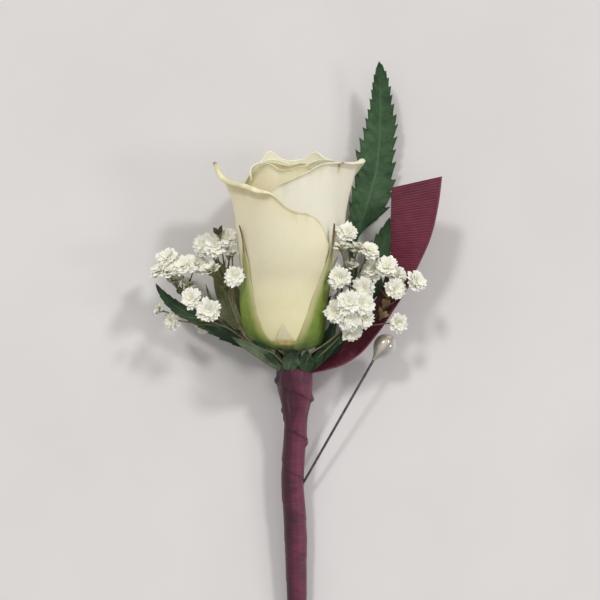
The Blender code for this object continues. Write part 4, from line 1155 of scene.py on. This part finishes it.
def make_leaf_left():
    """The long pointed leaf under the left florets."""
    shape = Shape()
    tube(shape, path(fan_path(3) + [(-13.0, -13.2, 7.4)], 30), 0.34, 8, 1)
    make_blade(shape, [(-11.6, -13.8, 7.2, 0.4, 0.5), (-15.0, -12.0, 7.8, 1.5, 1.6),
                       (-19.4, -9.0, 8.6, 2.7, 2.2), (-23.6, -6.8, 9.0, 2.6, 2.3),
                       (-28.0, -4.8, 9.0, 2.1, 2.2), (-31.8, -2.9, 9.0, 1.9, 1.9),
                       (-34.8, -0.8, 8.9, 1.7, 1.5), (-37.2, 1.6, 8.6, 1.1, 0.9),
                       (-38.6, 3.3, 8.3, 0.5, 0.5), (-39.3, 4.5, 8.2, 0.05, 0.05)], 260,
               teeth=[(0.0, 4.5), (0.5, 3.2), (1.0, 1.8)], depth=0.30, cup=0.26, quilt=0.10, veins=16,
               seed=321)
    shape.build("leaf_long_left", [DEEP, STALK], "leaf_left")


# Pale narrow bracts beside the olive leaf, and their seeds.
BRACTS = [([(-12.6, -8.4, 4.4, 0.25), (-16.8, -4.4, 6.6, 0.7), (-19.6, 1.6, 8.4, 0.8),
            (-20.6, 7.4, 9.6, 0.5), (-20.2, 11.0, 10.2, 0.03)], 333),
          ([(-13.2, -8.0, 5.6, 0.2), (-16.2, -5.6, 7.4, 0.6), (-17.8, -2.0, 8.6, 0.7),
            (-18.4, 2.8, 9.2, 0.45), (-18.8, 6.4, 9.6, 0.03)], 335),
          ([(-14.6, -8.6, 4.8, 0.2), (-18.8, -6.2, 6.4, 0.5), (-22.6, -2.6, 7.6, 0.6),
            (-24.8, 1.6, 8.6, 0.35), (-25.6, 4.4, 9.2, 0.03)], 337)]


def make_leaf_olive():
    """The thin olive leaf behind the bud's left side, with pale narrow bracts beside it."""
    shape = Shape()
    tube(shape, path(fan_path(5) + [(-9.0, -11.2, 1.0), (-12.4, -9.0, 1.8)], 30), 0.3, 8, 1)
    make_blade(shape, [(-11.6, -9.8, 1.6, 0.4, 0.4), (-14.6, -7.0, 2.6, 1.6, 2.0),
                       (-17.2, -3.4, 3.8, 3.0, 3.4), (-19.2, 0.4, 5.0, 3.3, 3.4),
                       (-20.8, 4.6, 5.9, 2.9, 3.0), (-22.0, 8.4, 6.6, 1.7, 1.8),
                       (-22.9, 11.4, 7.0, 0.05, 0.05)], 160, cup=0.22, quilt=0.10, veins=9, seed=331)
    for stations, seed in BRACTS:
        make_blade(shape, stations, 70, cup=0.5, quilt=0.0, columns=9, seed=seed, slot=2)
    shape.build("leaf_olive_left", [OLIVE, STALK, BRACT], "leaf_back_left")


# Short leaves round the hip, by side: foot, middle, tip, half width, finish and seed.
COLLAR_FINISHES = [DEEP, UNDERSIDE, YOUNG]
COLLAR = {
    "left": [((-4.2, -18.6, 11.6), (-5.2, -16.2, 12.6), (-6.3, -13.4, 13.0), 1.3, 0, 341),
             ((-4.4, -18.7, 12.4), (-5.6, -16.2, 13.8), (-6.6, -13.2, 14.6), 0.8, 1, 343),
             ((-3.3, -18.8, 12.9), (-2.6, -16.3, 13.6), (-0.9, -13.5, 15.0), 2.2, 2, 367),
             ((-5.2, -18.4, 12.8), (-10.6, -13.9, 18.6), (-18.0, -9.8, 17.2), 1.35, 1, 349),
             ((-5.0, -18.2, 12.0), (-9.6, -14.9, 16.6), (-14.4, -12.6, 16.6), 1.1, 1, 351),
             ((-4.6, -18.0, 12.2), (-8.0, -14.2, 17.6), (-12.6, -10.4, 18.4), 1.0, 0, 353)],
    "right": [((1.4, -19.0, 13.2), (1.8, -16.6, 14.4), (1.9, -13.4, 15.2), 1.8, 0, 345),
              ((2.6, -18.8, 12.2), (4.4, -16.2, 13.4), (6.4, -12.6, 14.0), 1.3, 0, 347),
              ((2.9, -18.5, 11.8), (7.4, -13.0, 13.6), (12.6, -7.6, 14.2), 1.5, 0, 355),
              ((2.8, -18.2, 10.6), (6.6, -12.2, 11.6), (9.8, -5.2, 12.4), 1.7, 0, 363),
              ((2.9, -18.6, 11.2), (7.0, -14.8, 11.6), (12.0, -11.6, 12.0), 1.0, 0, 357)],
}


def make_collar(side, blades):
    """Short dark leaves that stand round the hip at the wrap's mouth."""
    shape = Shape()
    for foot, middle, tip, width, slot, seed in blades:
        foot, middle, tip = np.array(foot), np.array(middle), np.array(tip)
        make_blade(shape, [(*foot, width * 0.55), (*(0.5 * foot + 0.5 * middle), width * 0.9),
                           (*middle, width), (*(0.5 * middle + 0.5 * tip), width * 0.8), (*tip, 0.08)],
                   60, cup=0.3, quilt=0.04, veins=5, columns=13, seed=seed, slot=slot)
    shape.build("collar_leaves_" + side, COLLAR_FINISHES, "collar_leaf_" + side)


make_fern_main()
make_fern_right()
make_leaf_left()
make_leaf_olive()
for side, blades in COLLAR.items():
    make_collar(side, blades)


# ---------------------------------------------------------------- baby's breath

# The slot in the wrap, the trunk's points past the calyx, florets as (x, y, z, radius, kind, way it
# faces), and withered tufts as (x, y, z, how dark); florets may be full, seen from the side or a bud.
SPRIGS = {
    "sprig_left_top": dict(
        slot=0,
        trunk=[(-11.0, -12.4, 18.0), (-14.4, -9.6, 17.2), (-17.6, -3.0, 16.0), (-19.6, 3.2, 15.6)],
        withered=[(-21.0, 16.9, 19.4, 1.0)],
        florets=[(-19.3, 16.6, 18.4, 2.9, "full", (-0.1, 0.4, 0.9)),
                 (-25.4, 14.8, 15.6, 3.6, "full", (-0.3, 0.35, 0.9)),
                 (-22.4, 14.3, 18.0, 3.4, "full", (0.0, 0.3, 0.95)),
                 (-17.0, 6.2, 21.2, 2.9, "full", (0.15, 0.1, 1.0)),
                 (-23.8, 8.7, 18.2, 3.0, "side", (-0.2, 0.8, 0.5)),
                 (-17.7, 12.6, 18.6, 1.7, "side", (0.1, 0.9, 0.5)),
                 (-18.9, 11.9, 17.6, 1.5, "bud", (-0.1, 0.9, 0.5))]),
    "sprig_left_low": dict(
        slot=1, trunk=[(-14.4, -10.6, 14.2), (-19.4, -7.4, 14.8), (-24.6, -5.4, 16.0)],
        florets=[(-24.0, -2.6, 19.8, 3.3, "full", (0.0, 0.05, 1.0)),
                 (-37.9, -2.5, 15.6, 1.8, "side", (-0.9, 0.3, 0.5)),
                 (-34.6, -5.7, 14.8, 2.5, "full", (-0.5, -0.2, 0.85)),
                 (-28.9, 0.6, 18.6, 3.0, "full", (-0.2, 0.25, 1.0))]),
    "sprig_left_mid": dict(
        slot=2,
        trunk=[(-15.6, -10.4, 10.8), (-21.0, -6.0, 12.2), (-26.2, -1.6, 12.6), (-31.6, 1.6, 12.8)],
        florets=[(-31.2, 9.2, 16.0, 3.3, "full", (-0.1, 0.5, 0.8)),
                 (-27.6, 9.8, 15.0, 3.2, "full", (0.3, 0.5, 0.8)),
                 (-35.8, 11.6, 14.0, 3.2, "full", (-0.3, 0.5, 0.75)),
                 (-37.7, 8.4, 16.4, 3.0, "full", (-0.5, 0.7, 0.6)),
                 (-34.9, 7.8, 17.6, 2.6, "full", (-0.2, 0.8, 0.6)),
                 (-33.2, 5.8, 14.2, 2.6, "side", (-0.1, 0.9, 0.4)),
                 (-29.8, 4.8, 13.2, 2.5, "side", (0.2, 0.9, 0.4))]),
    "sprig_left_under": dict(
        slot=4, trunk=[(-13.4, -11.2, 2.0), (-19.6, -6.6, 1.4), (-24.6, -4.0, 1.4)],
        florets=[(-29.0, 0.6, 2.5, 2.3, "full", (-0.5, 0.4, 0.7)),
                 (-27.2, -8.0, 2.4, 2.2, "full", (-0.4, -0.5, 0.7)),
                 (-33.4, -3.6, 2.6, 2.0, "side", (-0.8, 0.1, 0.5))]),
    "sprig_right_under": dict(
        slot=6, trunk=[(4.4, -10.8, 1.0), (6.8, -5.0, 1.0), (8.0, 0.5, 1.6)],
        florets=[(8.2, 3.4, 2.5, 2.3, "full", (0.3, 0.5, 0.8)),
                 (9.4, 9.2, 2.5, 2.2, "full", (0.3, 0.6, 0.7))]),
    "sprig_right_far": dict(
        withered=[(23.6, 1.0, 14.0, 0.2), (22.4, -1.6, 13.6, 0.1), (21.6, -4.6, 13.0, 0.0)], slot=9,
        trunk=[(12.4, -10.6, 9.8), (17.2, -7.0, 10.4), (21.4, -3.4, 12.0), (23.4, 0.2, 13.0)],
        florets=[(26.0, 7.2, 15.6, 3.0, "full", (0.4, 0.5, 0.8)),
                 (25.4, 3.0, 18.2, 3.0, "full", (0.3, 0.2, 0.95)),
                 (31.1, 5.3, 17.4, 3.0, "full", (0.6, 0.3, 0.8)),
                 (22.7, 9.2, 17.6, 3.3, "full", (0.0, 0.5, 0.85)),
                 (18.9, 8.2, 16.0, 3.2, "full", (-0.3, 0.4, 0.9)),
                 (16.6, 3.2, 17.8, 3.2, "full", (-0.2, 0.2, 0.95))]),
    "sprig_right_top": dict(
        slot=10, trunk=[(10.6, -9.6, 14.0), (13.2, -4.0, 14.0), (14.2, 3.0, 15.6)],
        florets=[(12.0, 17.8, 23.2, 2.9, "full", (-0.1, 0.5, 0.85)),
                 (10.6, 14.2, 24.6, 2.4, "side", (-0.1, 0.9, 0.45)),
                 (14.8, 14.0, 20.4, 2.5, "side", (0.1, 0.85, 0.5)),
                 (18.5, 13.2, 18.6, 2.9, "full", (0.3, 0.6, 0.75)),
                 (10.2, 5.9, 21.8, 3.0, "full", (-0.1, 0.2, 1.0)),
                 (13.4, 9.6, 19.0, 2.2, "side", (0.0, 0.8, 0.6))]),
    "sprig_right_low": dict(
        slot=11, trunk=[(6.6, -11.6, 17.6), (11.6, -7.6, 17.4)],
        florets=[(9.2, -2.9, 20.6, 3.3, "full", (-0.4, 0.1, 0.9)),
                 (12.6, -0.4, 21.8, 3.4, "full", (0.0, 0.3, 1.0)),
                 (16.8, -0.8, 20.0, 3.3, "full", (0.35, 0.2, 0.9)),
                 (13.0, -5.0, 20.8, 3.2, "full", (0.0, -0.1, 1.0)),
                 (16.9, -4.8, 18.8, 3.2, "full", (0.4, -0.15, 0.9)),
                 (13.5, -8.9, 18.4, 2.8, "full", (0.1, -0.5, 0.85)),
                 (26.3, -6.2, 15.0, 2.7, "full", (0.3, -0.1, 0.95))])}


# Whorls of petals are (number, lean, length, width, bend), from the outside in. A kind of floret is
# its whorls, how far its heart lies behind its middle, and the depth and mouth of its calyx.
KINDS = {
    "full": ([(11, 0.10, 1.16, 0.66, -0.2), (10, 0.40, 1.10, 0.62, -0.5), (9, 0.70, 0.98, 0.58, -0.9),
              (8, 0.98, 0.82, 0.52, -1.3), (6, 1.22, 0.66, 0.44, -1.5), (4, 1.42, 0.52, 0.36, -1.2)],
             0.30, 0.62, 0.42),
    "side": ([(9, 0.46, 1.1, 0.64, -0.3), (9, 0.72, 1.14, 0.60, -0.5), (8, 0.96, 1.10, 0.52, -0.8),
              (6, 1.2, 1.0, 0.44, -0.9)], 0.5, 0.95, 0.46),
    "bud": ([(6, 1.05, 1.15, 0.62, 0.2), (5, 1.28, 1.15, 0.5, 0.2)], 0.6, 0.95, 0.46),
}
SPRIG_FINISHES = [STALK, CALYX, FLORET, WITHERED]
STALK_SLOT, CALYX_SLOT, FLORET_SLOT, WITHERED_SLOT = range(4)
TRUNK_POINTS, PEDICEL_POINTS = 70, 22
FAR_FLORET = 6.0          # from the trunk's tip to a floret whose stalk may leave lower down


def turn_to(direction, spin):
    """Three axes whose last looks along direction, turned by spin about it."""
    ahead = unit(np.array(direction, float))
    helper = np.array([0.0, 0.0, 1.0]) if abs(ahead[2]) < 0.9 else np.array([1.0, 0.0, 0.0])
    first = unit(np.cross(helper, ahead))
    second = np.cross(ahead, first)
    return (math.cos(spin) * first + math.sin(spin) * second,
            math.cos(spin) * second - math.sin(spin) * first, ahead)


def add_petal(shape, heart, axes, spin, lean, length, width, bend, tint, rng):
    """One small floret petal: narrow at its foot, wide and notched at its end, cupped and bent."""
    rows, columns = 6, 5
    v = np.linspace(0, 1, rows)[:, None]
    u = np.linspace(-1, 1, columns)[None, :]
    wide = width * (0.22 + 0.78 * np.sin(np.minimum(v * 1.25, 1) * math.pi / 2))
    wide = wide * np.where(v > 0.9, 0.86, 1.0)
    notch = 0.16 * length * bell(u, 0, 0.28) * (v > 0.9) + 0.10 * length * np.abs(u) ** 3 * (v > 0.7)
    frill = rng.uniform(-0.07, 0.07, (1, columns)) * length * (v > 0.7)
    out = v * length - notch + frill
    height = 0.16 * width * u ** 2 + (bend + rng.uniform(-0.2, 0.3)) * 0.4 * length * v ** 2
    height = height + rng.uniform(-0.03, 0.03, (rows, columns)) * length
    first, second, ahead = axes
    flat = math.cos(spin) * first + math.sin(spin) * second
    sideways = math.cos(spin) * second - math.sin(spin) * first
    forward = math.cos(lean) * flat + math.sin(lean) * ahead
    upward = math.cos(lean) * ahead - math.sin(lean) * flat
    side = u * wide / 2
    grid = heart + out[..., None] * forward + side[..., None] * sideways + height[..., None] * upward
    shape.add(grid, grid_faces(rows, columns), grid_uv(rows, columns), FLORET_SLOT,
              tint * rng.uniform(0.3, 1.0))


def add_calyx(shape, back, axes, radius, depth, mouth):
    """The five-toothed cup behind a floret's petals."""
    rows, sides = 7, 15
    share = np.linspace(0, 1, rows)[:, None]
    angles = TAU * np.arange(sides) / sides
    size = straight([(0, 0.10), (0.15, 0.26), (0.5, 0.36), (1, mouth)], share) * radius
    ring = np.cos(angles)[:, None] * axes[0] + np.sin(angles)[:, None] * axes[1]
    teeth = share * radius * depth + 0.16 * radius * np.cos(5 * angles) * share ** 4
    grid = back + size[..., None] * ring + teeth[..., None] * axes[2]
    shape.add(grid, ring_faces(rows, sides)[:-1], grid_uv(rows, sides), CALYX_SLOT)


def add_floret(shape, spot, radius, kind, facing, foot, rng):
    """A floret with its calyx, and the stalk that meets it, slightly bowed with a joint half way."""
    whorls, heart_depth, calyx_depth, calyx_mouth = KINDS[kind]
    axes = turn_to(facing, rng.uniform(0, TAU))
    ahead = axes[2]
    heart = np.array(spot) - ahead * radius * heart_depth
    for order, (count, lean, length, width, bend) in enumerate(whorls):
        shift = rng.uniform(0, TAU)
        for index in range(count):
            spin = shift + TAU * (index + rng.uniform(-0.22, 0.22)) / count
            tilt = lean + rng.uniform(-0.18, 0.18)
            long = radius * length * rng.uniform(0.70, 1.02)
            wide = radius * width * rng.uniform(0.75, 1.1)
            add_petal(shape, heart, axes, spin, tilt, long, wide, bend, 0.05 + 0.09 * order, rng)
    back = heart - ahead * radius * 0.42
    add_calyx(shape, back, axes, radius, calyx_depth, calyx_mouth)
    bow = np.array([rng.uniform(-0.5, 0.5), rng.uniform(-0.3, 0.3), -0.5])
    middle = foot + (back - foot) * 0.5 + bow
    line = path([foot, foot + (middle - foot) * 0.5 + np.array([0, 0, -0.1]), middle, back],
                PEDICEL_POINTS)
    point = np.arange(PEDICEL_POINTS)
    joint = PEDICEL_POINTS / 2
    thick = 0.17 + 0.05 * bell(point, joint, 1.2) + 0.05 * (point > PEDICEL_POINTS - 3)
    tube(shape, line, thick, 6, STALK_SLOT, 0.8 * bell(point, joint, 1.5))


def add_bract(shape, foot, middle, end, widths, cup, seed, slot, mask=0.0):
    """A tiny pointed scale; widths are those at its foot, middle and end."""
    stations = [(*point, width) for point, width in zip((foot, middle, end), widths)]
    make_blade(shape, stations, 9, cup=cup, quilt=0.0, columns=5, thick=0.10, seed=seed, slot=slot,
               mask=mask)


def add_withered(shape, spot, dark, points, flow, seed, rng):
    """A dry, withered tuft on its own sagging stalk."""
    near = points[np.argmin(np.linalg.norm(points - spot, axis=1))]
    sag = np.array([0.0, 0.0, -0.16 * np.linalg.norm(spot - near)])
    tube(shape, path([near, (near + spot) / 2 + sag, spot], 14), 0.19, 6, STALK_SLOT)
    tube(shape, [spot - flow * 0.9, spot, spot + flow * 0.9], [0.2, 0.62, 0.2], 9, WITHERED_SLOT,
         [0.2, 0.7, 0.2])
    for scale in range(5):
        lean = turn_to(flow, TAU * (scale + rng.uniform(0, 0.6)) / 5)[0]
        end = spot + flow * rng.uniform(1.2, 2.8) + lean * rng.uniform(0.9, 2.2)
        add_bract(shape, spot, (spot + end) / 2 + flow * 0.3, end, (0.2, 0.55, 0.03), 0.6, seed + scale,
                  WITHERED_SLOT, dark)


def make_sprig(name, slot, trunk, florets, seed, withered=()):
    """A sprig: its trunk, a swollen node with bracts, florets on thin stalks and withered tufts."""
    rng = np.random.default_rng(seed)
    shape = Shape()
    points = path(fan_path(slot) + trunk, TRUNK_POINTS)
    thick = np.linspace(0.27, 0.21, TRUNK_POINTS) + 0.02 * wobble(seed, np.arange(TRUNK_POINTS) / 5)
    tube(shape, points, thick, 7, STALK_SLOT)
    tip = np.array(trunk[-1])
    flow = unit(points[-1] - points[-6])
    tube(shape, [tip - flow * 1.1, tip - flow * 0.5, tip, tip + flow * 0.6], [0.24, 0.50, 0.58, 0.2], 9,
         STALK_SLOT, [0.3, 0.8, 1.0, 0.8])
    for scale in range(4):
        lean = turn_to(flow, rng.uniform(0, TAU))[0]
        end = tip + flow * rng.uniform(1.3, 2.6) + lean * rng.uniform(0.8, 1.8)
        add_bract(shape, tip - flow * 0.3, (tip + end) / 2 + flow * 0.1, end, (0.1, 0.42, 0.02), 0.5,
                  seed + scale, CALYX_SLOT)
    # A second, lower node; every third floret's stalk leaves from just above it.
    low, fork = points[52], points[60]
    tube(shape, [low - flow * 0.5, low, low + flow * 0.5], [0.24, 0.36, 0.24], 8, STALK_SLOT,
         [0.3, 0.9, 0.3])
    for index, (x, y, z, radius, kind, facing) in enumerate(florets):
        far = np.linalg.norm(np.array([x, y, z]) - tip) > FAR_FLORET
        add_floret(shape, (x, y, z), radius, kind, facing, fork if index % 3 == 2 and far else tip, rng)
    for order, (*spot, dark) in enumerate(withered):
        dry = np.random.default_rng(seed + 900 + order)
        add_withered(shape, np.array(spot), dark, points, flow, seed + 40, dry)
    shape.build("baby_breath_" + name[6:], SPRIG_FINISHES, name)


for order, (name, parts) in enumerate(SPRIGS.items()):
    make_sprig(name, seed=401 + 17 * order, **parts)


# ---------------------------------------------------------------- corsage pin

PIN_NECK, PIN_ENTRY = np.array([19.8, -16.6, 9.0]), np.array([1.7, -49.0, 5.0])
PIN_WAY = unit(PIN_NECK - PIN_ENTRY)
PIN_HIDDEN = 6.5          # length of the point inside the stems
# The ground point is (distance from its tip, radius).
PIN_POINT = [(0.0, 0.04), (0.6, 0.11), (1.6, 0.22), (2.6, 0.30), (3.4, 0.35)]
PEARL_TILT = np.array([0.14, -0.03, 0.02])
PEARL_LENGTH = 8.5
PEARL_PROFILE = [(0.0, 0.50), (0.25, 0.62), (0.5, 0.66), (0.9, 0.80), (1.7, 1.40), (2.7, 2.15),
                 (3.8, 2.75), (4.9, 3.0), (5.8, 2.94), (6.7, 2.62), (7.5, 2.02), (8.1, 1.25),
                 (8.4, 0.6), (8.5, 0.02)]
# The side of the pearl that its painted dark and tan reflection bands face.
REFLECTION_SIDE = unit([-0.62, 0.30, 0.72])    # the side of the pearl that its tan band lies on


def make_pin_shaft():
    """The steel shaft with its ground point."""
    foot = PIN_ENTRY - PIN_WAY * PIN_HIDDEN
    end = np.linalg.norm(PIN_NECK - foot) + 0.35
    spots = np.append(np.array(PIN_POINT)[:, 0], np.linspace(4.5, end, 44))
    shape = Shape()
    tube(shape, foot + spots[:, None] * PIN_WAY, straight(PIN_POINT, spots), 20)
    shape.build("pin_shaft_steel", [STEEL], "pin_shaft")


def make_pearl():
    """The drop-shaped pearl on its collar."""
    rows, sides = 60, 56
    way = unit(PIN_WAY + PEARL_TILT)
    first, second = turn_to(way, 0.0)[:2]
    height = PEARL_LENGTH * np.sin(np.linspace(0, math.pi / 2, rows)) ** 1.1
    radius = np.maximum(table(PEARL_PROFILE, height), 0.02)
    centres = PIN_NECK + 0.3 * PIN_WAY + height[:, None] * way
    turns = TAU * np.arange(sides)[:, None] / sides
    # Mask of the painted reflections: 1 on the side the reflection side vector points to, 0 opposite.
    reflection_band = 0.5 + 0.5 * (np.cos(turns) * first + np.sin(turns) * second) @ REFLECTION_SIDE
    shape = Shape()
    turned(shape, centres, first, second, radius, sides, mask=np.broadcast_to(reflection_band, (rows, sides)))
    shape.build("pin_pearl_drop", [PEARL], "pin_pearl")


make_pin_shaft()
make_pearl()
